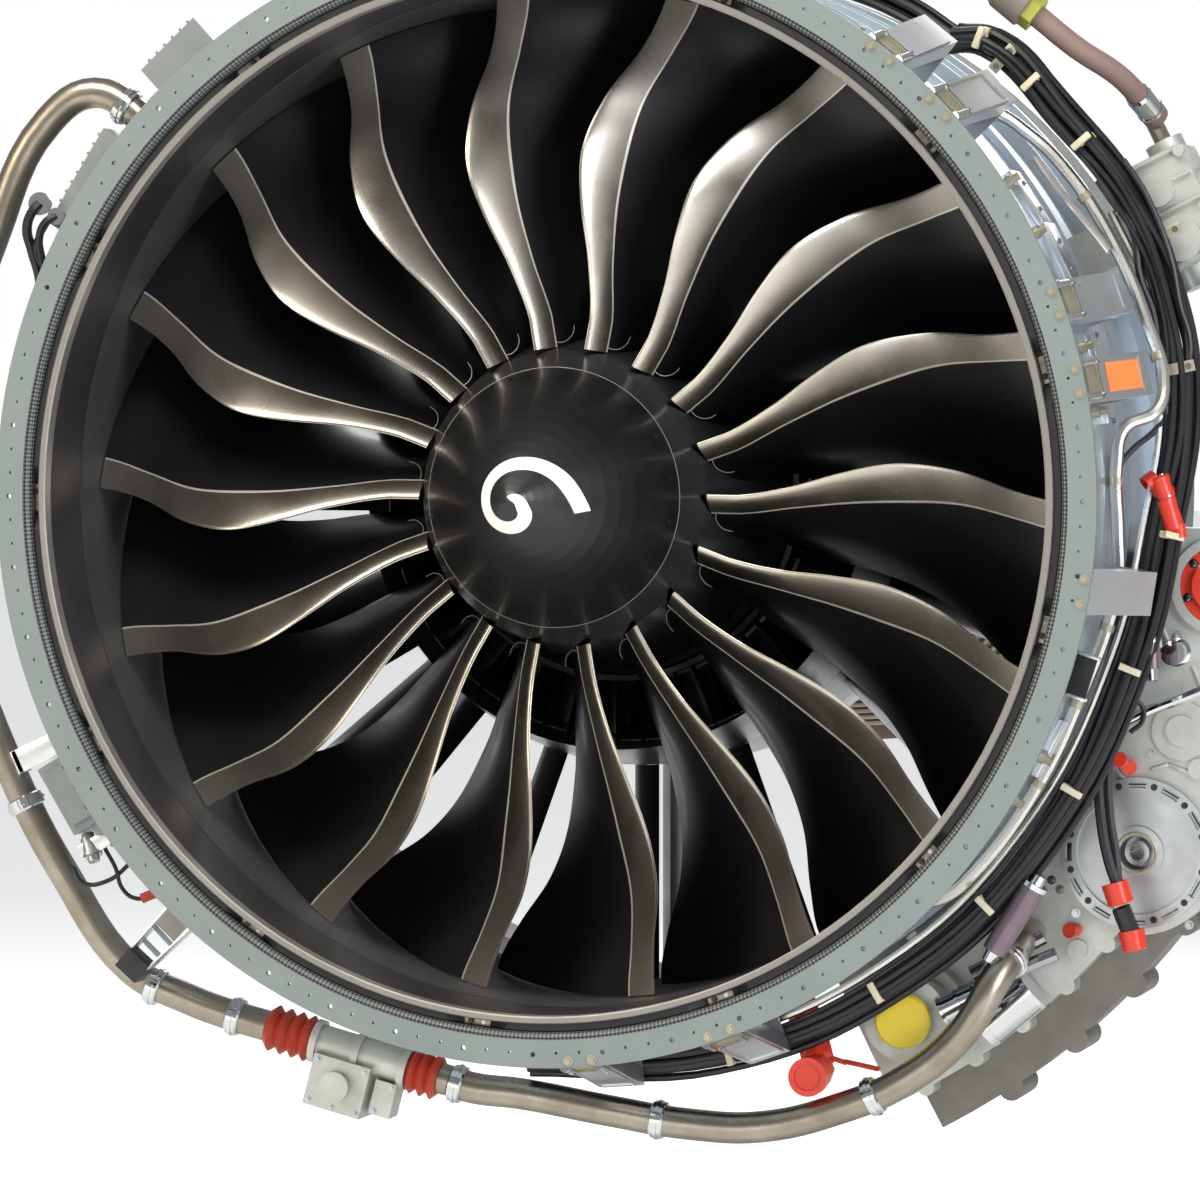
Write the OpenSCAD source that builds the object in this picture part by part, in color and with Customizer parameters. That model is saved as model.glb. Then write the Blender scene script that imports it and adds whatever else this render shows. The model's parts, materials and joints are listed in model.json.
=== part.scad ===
// High-bypass turbofan engine, bare, as it stands before its cowls are fitted.
// The engine axis is Y, air flows towards +Y, Z is up. The origin is the centre
// of the inlet flange face. Clock angles turn from +X towards +Z.

/* [Intake] */
// Height of the inlet flange above the case's inner wall
flange_h = 68; // [60:1:90]
// Thickness of the inlet flange
flange_t = 12; // [9:1:20]
// Distance of the flange bolts from the flange's outer edge
bolt_edge = 26; // [20:1:30]
// Number of flange bolt holes
flange_bolts = 48; // [24:2:54]
// Radius of one flange bolt hole
flange_hole_r = 5; // [3:0.5:7]
// Radius of the small fastener holes between the bolts
small_hole_r = 3; // [2:0.5:4]
// Number of notches in the front edge of the acoustic panel
panel_notches = 13; // [8:1:18]
// Width of one notch
notch_w = 130; // [80:5:170]

/* [Fan case] */
// Thickness of the lining inside the fan case wall
lining_t = 30; // [27:1:34]
// Wall thickness of the fan case
case_wall = 21; // [16:1:26]
// Length of the lining in front of the fan
front_lining_len = 196; // [180:1:205]
// Length of the rub ring round the fan blades
rub_ring_len = 385; // [375:1:420]
// Length of the lining behind the fan
aft_lining_len = 184; // [170:1:210]
// Length of the ring that carries the outlet guide vanes
vane_ring_len = 253; // [240:1:290]
// Length of the fan frame's outer ring
frame_len = 175; // [165:1:200]
// Height of the joint flanges on the cases
joint_h = 30; // [20:1:40]
// Thickness of the joint flanges on the cases
joint_t = 8; // [5:1:12]

/* [Fan] */
// Number of fan blades
fan_blades_n = 18; // [16:1:19]
// Radius at the blade tips
fan_tip_r = 987; // [975:1:990]
// Clearance between the blade tips and the rub ring
tip_gap = 4; // [3:0.5:8]
// Radius at the foot of the shaped part of a blade
blade_foot_r = 350; // [345:1:360]
// Height by which a leading edge guard stands proud of its blade
guard_proud = 0.8; // [0.4:0.1:1.5]
// Gap for the bond line behind a guard
bond_line = 0.5; // [0.3:0.1:1]
// Half width of a blade's dovetail root
dovetail_w = 27; // [24:1:29]
// Length of the hub from the spinner's base to the booster
hub_len = 380; // [376:1:390]
// Length of a blade's dovetail root
dovetail_len = 260; // [240:1:275]
// Skew of the dovetail slots against the engine axis
dovetail_skew = 16; // [14:1:18]
// Radius of the fan disk's rim
disk_r = 255; // [253:0.5:257]
// Clearance of each root in its slot
slot_gap = 0.4; // [0.2:0.1:1]

/* [Spinner] */
// Radius of the spinner's base
spinner_r = 251; // [246:1:254]
// Length of the spinner
spinner_len = 318; // [280:1:340]
// Distance of the spinner's base from the inlet flange face
spinner_base_y = 150; // [146:1:154]
// Wall of the spinner
spinner_wall = 7; // [4:1:10]

/* [Core] */
// Radius of the splitter lip between core and bypass air
splitter_r = 515; // [510:1:520]
// Distance of the splitter lip behind the fan's hub
splitter_gap = 70; // [66:1:76]
// Number of bypass outlet guide vanes
outlet_vanes_n = 36; // [24:1:40]
// Number of booster inlet guide vanes
inlet_vanes_n = 60; // [40:1:72]
// Length of the high pressure compressor
compressor_len = 570; // [560:1:600]
// Length of the combustor case
combustor_len = 320; // [310:1:340]
// Length of the high pressure turbine case
high_turbine_len = 169; // [165:1:180]
// Length of the low pressure turbine case
low_turbine_len = 590; // [580:1:620]
// Length of the turbine rear frame
rear_frame_len = 219; // [205:1:240]
// Number of vanes or blades in each booster row
booster_row_n = 30; // [24:1:44]
// Number of vanes or blades in each compressor row
compressor_row_n = 26; // [20:1:40]
// Number of vanes or blades in each turbine row
turbine_row_n = 24; // [24:1:44]
// Gap at the ends of struts and vanes that are bolted in
strut_gap = 0.3; // [0.2:0.1:0.6]
// Wall of the core cases
core_wall = 9; // [6:1:12]
// Running gap between turning and fixed core parts
core_gap = 4; // [3:0.5:5]
// Number of fuel nozzles
nozzles_n = 18; // [12:1:20]
// Number of struts in the turbine rear frame
rear_struts_n = 12; // [8:1:14]

/* [Shafts] */
// Outer radius of the fan shaft
fan_shaft_r = 56; // [50:1:58]
// Inner radius of the fan shaft
fan_shaft_bore_r = 38; // [30:1:44]
// Outer radius of the high pressure shaft
high_shaft_r = 78; // [74:1:84]
// Clearance between the two shafts
shaft_gap = 6; // [4:1:8]
// Radius of the radial drive shaft
radial_shaft_r = 17; // [14:1:20]
// Clearance around the radial drive shaft
radial_shaft_gap = 9; // [6:1:12]
// Clock angle of the radial drive shaft
radial_shaft_angle = -45; // [-46:0.5:-44]

/* [Accessories] */
// Distance of the gearbox front face from the inlet flange face
gearbox_y = 560; // [550:1:580]
// Depth of the gearbox's front housing
gearbox_front_t = 70; // [60:1:90]
// Depth of the gearbox's rear housing
gearbox_rear_t = 150; // [120:1:170]
// Distance of the generator pad's centre from the fan case
pad_out = 236; // [228:1:248]
// Clock angle of the generator pad
pad_angle = -33; // [-34:0.5:-32]
// Outer radius of the generator pad
pad_r = 148; // [140:1:155]
// Radius of the circle of pad bolts
pad_bolt_circle_r = 134; // [130:0.5:137]
// Number of pad bolt holes
pad_bolts = 12; // [8:1:14]
// Radius of one pad bolt hole
pad_hole_r = 4.5; // [3:0.5:6]
// Radius of the opening in the pad for the drive
pad_bore_r = 34; // [30:1:40]
// Depth of the oil tank out from the fan case
tank_depth = 166; // [140:1:175]
// Radius of the starter
starter_r = 105; // [90:1:110]
// Length of the starter
starter_len = 170; // [150:1:190]
// Outer radius of the air duct
duct_r = 31; // [26:1:36]
// Radius of the wiring looms
loom_r = 11; // [8:1:14]

/* [Mounts] */
// Distance between the front mount's bolt holes across the engine
front_mount_x = 180; // [160:1:200]
// Distance between the front mount's bolt holes along the engine
front_mount_y = 70; // [60:1:80]
// Radius of one front mount bolt hole
front_mount_hole_r = 12; // [8:0.5:14]
// Height of the front mount's face above the engine axis
front_mount_z = 690; // [680:1:710]
// Radius of the pin holes in the rear mount lugs
rear_mount_hole_r = 14; // [10:0.5:18]

/* [Hidden] */
$fn = 48;

// Blade shape at equal steps from foot to tip
nose_angle = [1.3, 3.2, 5.5, 6.4, 4.7, 1.5, 0];
nose_depth = [210, 188, 167, 172, 224, 286, 313];
chord_len = [300, 330, 360, 395, 425, 450, 475];
inlet_angle = [34, 40, 44, 48, 54, 60, 66];
outlet_angle = [-2, 10, 20, 29, 36, 43, 48];
thickness = [26, 21, 17, 14.5, 12.5, 11, 9.5];
guard_width = [50, 54, 78, 97, 80, 60, 64];
fan_clock = 119.3;
blade_steps = 8;
root_low_r = 262;
duct_wall_r = fan_tip_r + tip_gap;
case_r = duct_wall_r + lining_t;
skin_r = case_r + case_wall;
flange_r = case_r + flange_h;
bolt_circle_r = flange_r - bolt_edge;
lining_y = 18;
rub_y = lining_y + front_lining_len + 1;
aft_lining_y = rub_y + rub_ring_len + 1;
vane_ring_y = aft_lining_y + aft_lining_len + 1;
case_len = vane_ring_y + vane_ring_len + 1;
frame_end = case_len + frame_len;
core_y = frame_end + 115;

// Gas path radii against distance from the inlet flange face
hub_end = spinner_base_y + hub_len;
hub_line = [[spinner_base_y, spinner_r + 1], [185, 268], [224, 285], [330, 308], [440, 333],
    [hub_end, 352]];
splitter_y = hub_end + splitter_gap;
booster_y = splitter_y + 99;
core_end = core_y + compressor_len;
core_inner = [[hub_end, 352], [splitter_y + 20, 376], [booster_y + 1, 386], [case_len - 5, 390],
    [core_y, 200], [core_end, 238]];
core_outer = [[splitter_y, splitter_r], [booster_y + 1, 500], [case_len - 5, 478], [core_y, 292],
    [core_end, 268]];
bypass_inner = [[splitter_y, splitter_r], [splitter_y + 180, 556], [case_len, 572], [frame_end, 572]];
burner_y = core_end + 1;
turbine_y = burner_y + combustor_len;
low_turbine_y = turbine_y + high_turbine_len;
rear_y = low_turbine_y + low_turbine_len + 1;
rear_end = rear_y + rear_frame_len;
turbine_inner = [[low_turbine_y, 330], [rear_y - 1, 392], [rear_end, 380]];
turbine_outer = [[low_turbine_y, 425], [rear_y - 1, 592], [rear_end, 600]];

module at(angle) {
    rotate([0, -angle, 0]) children();
}

module turned(profile) {
    rotate([90, 0, 0]) rotate_extrude() mirror([0, 1]) polygon(profile);
}

// Ring with a rectangular section
module band(r0, r1, y0, y1) {
    turned([[r0, y0], [r1, y0], [r1, y1], [r0, y1]]);
}

// Turned wall outside or inside a line of [distance, radius] stations
function line_out(line, off) = [for (p = line) [p[1] + off, p[0]]];
function reversed(list) = [for (i = [len(list) - 1 : -1 : 0]) list[i]];
module wall(line, t0, t1) {
    turned(concat(line_out(line, t1), reversed(line_out(line, t0))));
}
function r_at(line, y) = lookup(y, line);
// Largest and smallest radius of a line within half a chord of a station
function high_r(line, y, half) = max(r_at(line, y - half), r_at(line, y + half));
function low_r(line, y, half) = min(r_at(line, y - half), r_at(line, y + half));

module rod(r, y0, y1) {
    translate([0, y0, 0]) rotate([-90, 0, 0]) cylinder(r = r, h = y1 - y0);
}
module radial_rod(r, r0, r1, y) {
    translate([r0, y, 0]) rotate([0, 90, 0]) cylinder(r = r, h = r1 - r0);
}
module around(n, start = 0) {
    for (i = [0 : n - 1]) at(start + 360 * i / n) children();
}
// Takes away what reaches into the fan case
module case_space(y0, y1) {
    rod(skin_r + 9.6, y0, y1, $fn = 180);
}
module arc_tube(path_r, y, r, from, to) {
    at(from) rotate([90, 0, 0]) rotate_extrude(angle = to - from) translate([path_r, -y]) circle(r = r);
}
module arc_block(r0, r1, y0, y1, from, to) {
    at(from) rotate([90, 0, 0]) rotate_extrude(angle = to - from)
        translate([r0, -y1]) square([r1 - r0, y1 - y0]);
}
// Flat plate drawn in X and Z, from one distance aft to another
module plate(y0, y1) {
    translate([0, y1, 0]) rotate([90, 0, 0]) linear_extrude(y1 - y0) children();
}

function arc_r(c, s) = (c * c / 4 + s * s) / (2 * s);
module crescent(chord, thick, bulge) {
    outer = bulge + thick / 2;
    inner = bulge - thick / 2;
    difference() {
        translate([outer - arc_r(chord, outer), 0]) circle(r = arc_r(chord, outer));
        translate([inner - arc_r(chord, inner), 0]) circle(r = arc_r(chord, inner));
    }
}
module lens(chord, thick) {
    r = arc_r(chord, thick / 2);
    intersection() {
        translate([thick / 2 - r, 0]) circle(r = r);
        translate([r - thick / 2, 0]) circle(r = r);
    }
}
module radial_prism(r0, r1, y) {
    rotate([0, 90, 0]) translate([0, y, r0]) linear_extrude(r1 - r0) children();
}
module vane_row(n, r0, r1, y, chord, thick, bulge, stagger) {
    around(n) radial_prism(r0, r1, y) rotate(stagger) crescent(chord, thick, bulge);
}
// Blades stand on a drum and stop short of the casing
module rotor_row(n, y, chord, thick, bulge, stagger, inner, outer, bite) {
    vane_row(n, r_at(inner, y) - bite, low_r(outer, y, chord / 2) - core_gap, y, chord, thick, bulge, stagger);
}

// Intake and fan case
module inlet_flange() {
    color([0.72, 0.76, 0.75]) difference() {
        band(case_r + 14, flange_r, 0, flange_t);
        around(flange_bolts) translate([bolt_circle_r, 0, 0]) rod(flange_hole_r, -1, flange_t + 1);
        for (i = [0 : flange_bolts - 1], j = [1, 2])
            at(360 * (i + j / 3) / flange_bolts)
                translate([bolt_circle_r - 3, 0, 0]) rod(small_hole_r, -1, flange_t + 1);
    }
}

module fan_case() {
    nose = [for (a = [0 : 15 : 90]) [case_r + 14 - 14 * sin(a), 3 + 14 - 14 * cos(a)]];
    out_r = skin_r;
    color([0.2, 0.21, 0.22]) union() {
        turned(concat(nose, [[case_r, case_len], [out_r + joint_h, case_len],
            [out_r + joint_h, case_len - joint_t], [out_r, case_len - joint_t],
            [out_r, 690], [out_r + 9, 660], [out_r + 9, 190], [out_r, 160], [out_r, 40],
            [case_r + 34, flange_t + 12], [case_r + 34, flange_t], [case_r + 14, flange_t]]));
        for (y = [120, 480, 800, 930]) band(out_r - 1, out_r + 24, y, y + 6);
    }
}

module intake_lip_ring() {
    color([0.78, 0.78, 0.76]) turned([[duct_wall_r, 9], [duct_wall_r + 3, 7],
        [duct_wall_r + 12, 7], [duct_wall_r + 14, 9], [duct_wall_r + 14, 40], [duct_wall_r, 40]]);
}

module acoustic_panel() {
    top = case_r - 2;
    end = lining_y + front_lining_len;
    color([0.30, 0.28, 0.30]) difference() {
        turned([[duct_wall_r + 15, lining_y], [top, lining_y], [top, end], [duct_wall_r + 2, end],
            [duct_wall_r + 2, 40.5], [duct_wall_r + 15, 40.5]]);
        around(panel_notches, 14) radial_prism(duct_wall_r + 14.5, case_r + 5, 17)
            polygon([[-notch_w / 2, -1], [notch_w / 2, -1], [notch_w / 2 - 30, 22], [30 - notch_w / 2, 22]]);
    }
}

module tip_rub_ring() {
    color([0.24, 0.24, 0.25]) band(duct_wall_r, case_r, rub_y, rub_y + rub_ring_len);
}

module aft_panel() {
    color([0.30, 0.29, 0.30]) band(duct_wall_r + 2, case_r - 1, aft_lining_y, aft_lining_y + aft_lining_len);
}

module outlet_guide_vanes() {
    end = case_len - 1;
    outer = case_r - 16;
    color([0.13, 0.13, 0.15]) {
        band(outer, case_r, vane_ring_y, end);
        wall([for (y = [vane_ring_y - 5, end]) [y, r_at(bypass_inner, y)]], -12, 0);
        around(outlet_vanes_n) intersection() {
            radial_prism(540, case_r, (vane_ring_y + end) / 2 - 7) rotate(-22) crescent(225, 16, 26);
            at(180) turned([[r_at(bypass_inner, vane_ring_y) + strut_gap, vane_ring_y],
                [outer - strut_gap, vane_ring_y], [outer - strut_gap, end],
                [r_at(bypass_inner, end) + strut_gap, end]]);
        }
    }
}

// Core front
module splitter_ring() {
    end = splitter_y + 180;
    color([0.55, 0.54, 0.40]) union() {
        turned([[splitter_r, splitter_y], [r_at(bypass_inner, end), end],
            [r_at(bypass_inner, end) - 12, end], [splitter_r + 8, splitter_y + 50],
            [splitter_r - 3, splitter_y + 98], [splitter_r - 13, splitter_y + 98]]);
    }
}

module booster_guide_vanes() {
    color([0.16, 0.16, 0.17]) union() {
        band(366, 377, splitter_y + 22, splitter_y + 96);
        vane_row(inlet_vanes_n, 376, splitter_r - 11, splitter_y + 48, 52, 4, 6, -18);
    }
}

module booster_case() {
    stators = [booster_y + 99, booster_y + 219, case_len - 28];
    color([0.42, 0.43, 0.44]) union() {
        wall([for (y = [booster_y, booster_y + 100, booster_y + 220, case_len - 1])
            [y, r_at(core_outer, y)]], 0, core_wall);
        for (y = stators)
            vane_row(booster_row_n, r_at(core_inner, y) + core_gap, r_at(core_outer, y) + 3, y,
                42, 4, 5, -16);
    }
}

// Distance aft of the struts and of the radial drive
shaft_y = case_len + 90;
module frame_bore() {
    at(radial_shaft_angle) radial_rod(radial_shaft_r + radial_shaft_gap, 150, 1200, shaft_y);
}

module fan_frame() {
    out_r = skin_r;
    outer_r = case_r - 16;
    color([0.60, 0.61, 0.62]) {
        difference() {
            union() {
                band(outer_r, out_r, case_len, frame_end);
                band(out_r - 1, out_r + joint_h, case_len, case_len + joint_t);
                band(out_r - 1, out_r + joint_h, frame_end - joint_t, frame_end);
            }
            frame_bore();
        }
        difference() {
            around(8) radial_prism(572 + strut_gap, outer_r - 0.6 - strut_gap, shaft_y) lens(150, 64);
            frame_bore();
        }
        difference() {
            union() {
                wall([[case_len, 572], [frame_end, 572], [core_y, 560]], -14, 0);
                band(296, 559, core_y - 12, core_y);
                at(22.5) {
                    wall([[case_len, r_at(core_outer, case_len)], [core_y, 292]], 0, 11);
                    wall([[case_len, r_at(core_inner, case_len)], [core_y, 200]], -11, 0);
                }
                difference() {
                    around(8) radial_prism(270, 564, shaft_y) lens(150, 64);
                    turned([[0, case_len - 10], [r_at(core_inner, case_len - 5) - 5, case_len - 10],
                        [r_at(core_inner, case_len + 200) - 5, case_len + 200], [0, case_len + 200]]);
                }
                band(188, 206, core_y - 8, core_y);
            }
            frame_bore();
        }
    }
}

// Cones that carry the front and the thrust bearing
module front_bearing_housing() {
    color([0.5, 0.5, 0.52]) union() {
        wall([[booster_y - 59, 130], [booster_y - 9, 134], [case_len - 4, 372]], -8, 2);
        band(112, 130, booster_y - 59, booster_y - 9);
        band(370, 379, case_len - 12, case_len);
        wall([[core_y - 140, 118], [core_y - 98, 120], [core_y - 4, 188]], -8, 0);
        band(180, 188, core_y - 8, core_y);
    }
}

module main_bearings() {
    color([0.7, 0.7, 0.72]) union() {
        band(fan_shaft_r + 26, 112, booster_y - 54, booster_y - 14);
        band(high_shaft_r + 12, 110, core_y - 138, core_y - 102);
        band(fan_shaft_r + 12, 84, rear_y + 64, rear_y + 114);
    }
}

// Core
// Distance between two rows of the compressor
row_pitch = 100;
compressor_y = [for (d = [1, 110, 230, 350, 470]) core_y + d];
stator_y = [for (i = [0 : 4]) core_y + 85 + i * row_pitch];
rotor_y = [for (i = [0 : 5]) core_y + 35 + i * row_pitch];
module compressor_case() {
    color([0.50, 0.51, 0.52]) union() {
        wall([for (y = concat(compressor_y, [core_end])) [y, r_at(core_outer, y)]], 0, core_wall);
        band(292, 330, core_y + 1, core_y + 10);
        band(268, 310, core_end - 9, core_end);
        for (s = [0, 180]) at(s) translate([0, core_y + 10, -10])
            arc_split();
        for (y = stator_y)
            vane_row(compressor_row_n, r_at(core_inner, y) + core_gap, r_at(core_outer, y) + 3, y,
                30, 3, 4, -20);
    }
}
// Split line flange along one side of the compressor case
module arc_split() {
    y0 = core_y + 10;
    reach = core_end - y0;
    linear_extrude(20) polygon([[r_at(core_outer, y0) + 4, -2], [r_at(core_outer, y0) + 30, -2],
        [r_at(core_outer, core_end) + 30, reach - 7], [r_at(core_outer, core_end) + 4, reach - 7]]);
}

combustor_line = [[burner_y, 268], [burner_y + 34, 300], [burner_y + 74, 352], [turbine_y - 1, 362]];
nozzle_y = burner_y + 89;
igniter_y = burner_y + 169;
module combustor_case() {
    color([0.52, 0.50, 0.47]) difference() {
        union() {
            wall(combustor_line, 0, core_wall);
            band(268, 310, burner_y, burner_y + 9);
            band(362, 400, turbine_y - 10, turbine_y - 1);
        }
        around(nozzles_n) radial_rod(13, 330, 390, nozzle_y);
        for (a = [-65, -115]) at(a) radial_rod(13, 330, 390, igniter_y);
    }
}

module combustor_liner() {
    front = burner_y + 109;
    back = turbine_y - 6;
    color([0.45, 0.40, 0.36]) difference() {
        turned([[228, front], [330, front], [342, front + 50], [342, back - 75], [326, back], [322, back],
            [338, back - 75], [338, front + 50], [327, front + 6], [231, front + 6], [222, front + 50],
            [222, back - 75], [240, back], [236, back], [218, back - 75], [218, front + 50]]);
        around(nozzles_n) translate([281, 0, 0]) rod(15, front - 10, front + 20);
    }
}

module fuel_nozzles() {
    color([0.62, 0.62, 0.60]) union() {
        around(nozzles_n) {
            radial_rod(11, 281, 396, nozzle_y);
            radial_rod(20, 372, 378, nozzle_y);
            translate([281, 0, 0]) rod(14, nozzle_y - 12, nozzle_y + 29);
        }
        arc_tube(400, nozzle_y, 9, 0, 360);
    }
}

module igniters() {
    seat = r_at(combustor_line, igniter_y) + core_wall;
    color([0.70, 0.66, 0.52]) for (a = [-65, -115]) at(a) {
        radial_rod(11, seat - 22, seat + 42, igniter_y);
        radial_rod(19, seat + 1, seat + 16, igniter_y);
    }
}

turbine_line = [[turbine_y, 362], [turbine_y + 109, 366], [low_turbine_y, 425], [rear_y - 1, 592]];
low_stator_y = [for (i = [0 : 4]) low_turbine_y + 30 + 120 * i];
low_rotor_y = [for (i = [0 : 4]) low_turbine_y + 88 + 119 * i];
module turbine_case() {
    color([0.55, 0.53, 0.50]) union() {
        wall(turbine_line, 0, core_wall);
        band(364, 400, turbine_y, turbine_y + 9);
        band(428, 460, low_turbine_y + 2, low_turbine_y + 11);
        band(590, 632, rear_y - 10, rear_y - 1);
        vane_row(turbine_row_n, 246, 368, turbine_y + 24, 34, 6, 8, -30);
        band(236, 250, turbine_y + 7, turbine_y + 41);
        for (y = low_stator_y)
            vane_row(turbine_row_n, high_r(turbine_inner, y, 22) + core_gap, r_at(turbine_outer, y) + 3, y,
                46, 6, 9, -22);
    }
}

module turbine_cooling_tubes() {
    color([0.66, 0.62, 0.52]) union() {
        for (i = [0 : 7]) let (y = low_turbine_y + 50 + 62 * i)
            arc_tube(r_at(turbine_line, y) + core_wall + 13, y, 9, 15, 345);
        for (a = [15, 345]) at(a) feed_bar();
    }
}
// Straight manifold that feeds the cooling tubes
module feed_bar() {
    y0 = low_turbine_y + 35;
    y1 = low_turbine_y + 505;
    r0 = r_at(turbine_line, y0) + core_wall + 13;
    r1 = r_at(turbine_line, y1) + core_wall + 13;
    translate([0, 0, -14]) linear_extrude(28)
        polygon([[r0 - 9, y0], [r0 + 22, y0], [r1 + 22, y1], [r1 - 9, y1]]);
}

rear_strut_y = rear_y + 114;
module turbine_rear_frame() {
    color([0.50, 0.47, 0.43]) union() {
        wall([[rear_y, 592], [rear_end, 600]], 0, 10);
        band(594, 632, rear_y, rear_y + 9);
        band(602, 630, rear_end - 8, rear_end);
        wall([[rear_y + 11, 391], [rear_end, 380]], -10, 0);
        around(rear_struts_n, 15) radial_prism(374, 604, rear_strut_y) lens(130, 34);
        wall([[rear_y + 31, 384], [rear_y + 79, 104]], -8, 0);
        band(84, 104, rear_y + 59, rear_y + 119);
    }
}

module tail_cone() {
    color([0.48, 0.45, 0.42]) turned([for (p = [[372, 1], [380, 1], [345, 50], [250, 130], [60, 130],
        [60, 122], [245, 122], [338, 46]]) [p[0], rear_end + p[1]]]);
}

module rear_mount() {
    seat = r_at([[rear_y, 592], [rear_end, 600]], rear_strut_y) + 10;
    y0 = rear_strut_y - 45;
    y1 = rear_strut_y + 45;
    color([0.58, 0.58, 0.60]) difference() {
        for (a = [62, 90, 118]) at(a) translate([seat - 8, rear_strut_y - 20, -24]) cube([98, 40, 48]);
        for (a = [62, 90, 118]) at(a) translate([seat + 62, 0, 0])
            rod(rear_mount_hole_r, rear_strut_y - 35, rear_strut_y + 35);
        turned([[0, y0], [r_at([[rear_y, 602], [rear_end, 610]], y0), y0],
            [r_at([[rear_y, 602], [rear_end, 610]], y1), y1], [0, y1]]);
    }
}

module front_mount() {
    half_x = front_mount_x / 2 + 40;
    mid_y = frame_end + 60;
    color([0.58, 0.58, 0.60]) difference() {
        translate([0, mid_y, 0]) union() {
            translate([-half_x, -50, front_mount_z - 26]) cube([2 * half_x, 100, 26]);
            translate([-80, -46, 540]) cube([160, 92, front_mount_z - 560]);
        }
        turned([[0, frame_end - 15], [572.3, frame_end - 15], [572.3, frame_end], [560.3, core_y + 0.5],
            [0, core_y + 0.5]]);
        for (x = [-1, 1], y = [-1, 1])
            translate([x * front_mount_x / 2, mid_y + y * front_mount_y / 2, front_mount_z - 40])
                cylinder(r = front_mount_hole_r, h = 60);
    }
}

// Accessory gearbox on the right of the fan case
// Point of a clock plane at a distance from the fan case's skin
function off_skin(out, angle) = (skin_r + out) * [cos(angle), sin(angle)];
pad_x = off_skin(pad_out, pad_angle).x;
pad_z = off_skin(pad_out, pad_angle).y;
cover_r = 77;
cover_at = off_skin(203, -8);
starter_at = off_skin(163, -58);
blank_at = off_skin(202, -21.5);
gear_r = skin_r + 298;
sump_r = skin_r + 383;
seat_r = skin_r + 26;
drive_r = 24;

module sector(r0, r1, from, to) {
    steps = 12;
    fan = [for (i = [0 : steps]) from + (to - from) * i / steps];
    difference() {
        intersection() {
            circle(r = r1, $fn = 180);
            polygon(concat([[0, 0]], [for (a = fan) [2 * r1 * cos(a), 2 * r1 * sin(a)]]));
        }
        circle(r = r0, $fn = 180);
    }
}
module on_bosses() {
    for (a = [-14 : -6 : -26]) rotate(a) translate([gear_r - 2, 0]) circle(r = 17);
    for (a = [-41 : -5 : -62]) rotate(a) translate([gear_r - 2, 0]) circle(r = 17);
}
module gearbox_outline() {
    difference() {
        union() {
            sector(seat_r, gear_r, -64, -3);
            translate([pad_x, pad_z]) circle(r = pad_r + 14);
            translate(cover_at) circle(r = 120);
            on_bosses();
        }
        circle(r = seat_r, $fn = 180);
    }
}
module gearbox_housing() {
    color([0.66, 0.67, 0.64]) difference() {
        union() {
            plate(gearbox_y, gearbox_y + gearbox_front_t) gearbox_outline();
            translate([cover_at.x, 0, cover_at.y]) rod(96, gearbox_y - 16, gearbox_y + 1);
            translate([blank_at.x, 0, blank_at.y]) {
                rod(58, gearbox_y - 8, gearbox_y + 1);
                rod(30, gearbox_y - 16, gearbox_y + 1);
            }
            for (a = [-24, -43]) translate([off_skin(262, a).x, 0, off_skin(262, a).y])
                rod(20, gearbox_y - 12, gearbox_y + 1);
            for (a = [-17 : -6 : -29]) translate([off_skin(62, a).x, 0, off_skin(62, a).y])
                rod(15, gearbox_y - 9, gearbox_y + 1);
        }
        translate([pad_x, 0, pad_z]) rod(pad_bore_r, gearbox_y - 10, gearbox_y + gearbox_front_t + 10);
        translate([cover_at.x, 0, cover_at.y]) rod(cover_r + 1, gearbox_y - 20, gearbox_y - 4);
    }
}

module gearbox_rear_housing() {
    y0 = gearbox_y + gearbox_front_t;
    color([0.30, 0.31, 0.31]) difference() {
        plate(y0, y0 + gearbox_rear_t) difference() {
            union() {
                sector(seat_r, sump_r, -62, -6);
                for (a = [-10 : -6.5 : -60]) rotate(a) translate([sump_r, 0]) circle(r = 26);
            }
            circle(r = seat_r, $fn = 180);
        }
        translate([pad_x, 0, pad_z]) rod(pad_bore_r + 6, y0 - 1, y0 + gearbox_rear_t - 30);
    }
}

module generator_pad() {
    y0 = gearbox_y - 22;
    color([0.74, 0.75, 0.72]) translate([pad_x, 0, pad_z]) difference() {
        union() {
            band(pad_bore_r + 18, pad_r, y0 + 10, gearbox_y);
            band(pad_bolt_circle_r - 14, pad_r, y0, y0 + 11);
            band(pad_bore_r, pad_bore_r + 19, y0 + 2, gearbox_y);
        }
        around(pad_bolts, 15) translate([pad_bolt_circle_r, 0, 0]) rod(pad_hole_r, y0 - 1, gearbox_y + 1);
        around(pad_bolts) arc_slot(y0);
    }
}
// Arc shaped slot between two pad bolts
module arc_slot(y0) {
    at(-8) rotate([90, 0, 0]) rotate_extrude(angle = 16)
        translate([pad_bolt_circle_r - 6, -y0 - 9]) square([13, 12]);
}

module generator_drive() {
    color([0.24, 0.22, 0.18]) translate([pad_x, 0, pad_z]) difference() {
        union() {
            rod(drive_r, gearbox_y - 12, gearbox_y + gearbox_front_t + 60);
            band(drive_r - 1, pad_bore_r - 1, gearbox_y + 30, gearbox_y + 50);
        }
        plate(gearbox_y - 13, gearbox_y + 40) spline_outline(16, 3, 16);
    }
}
module spline_outline(r, tooth, n) {
    polygon([for (i = [0 : 4 * n - 1])
        let (a = 360 * i / (4 * n), rr = (i % 4 < 2) ? r : r - tooth) [rr * cos(a), rr * sin(a)]]);
}

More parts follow.
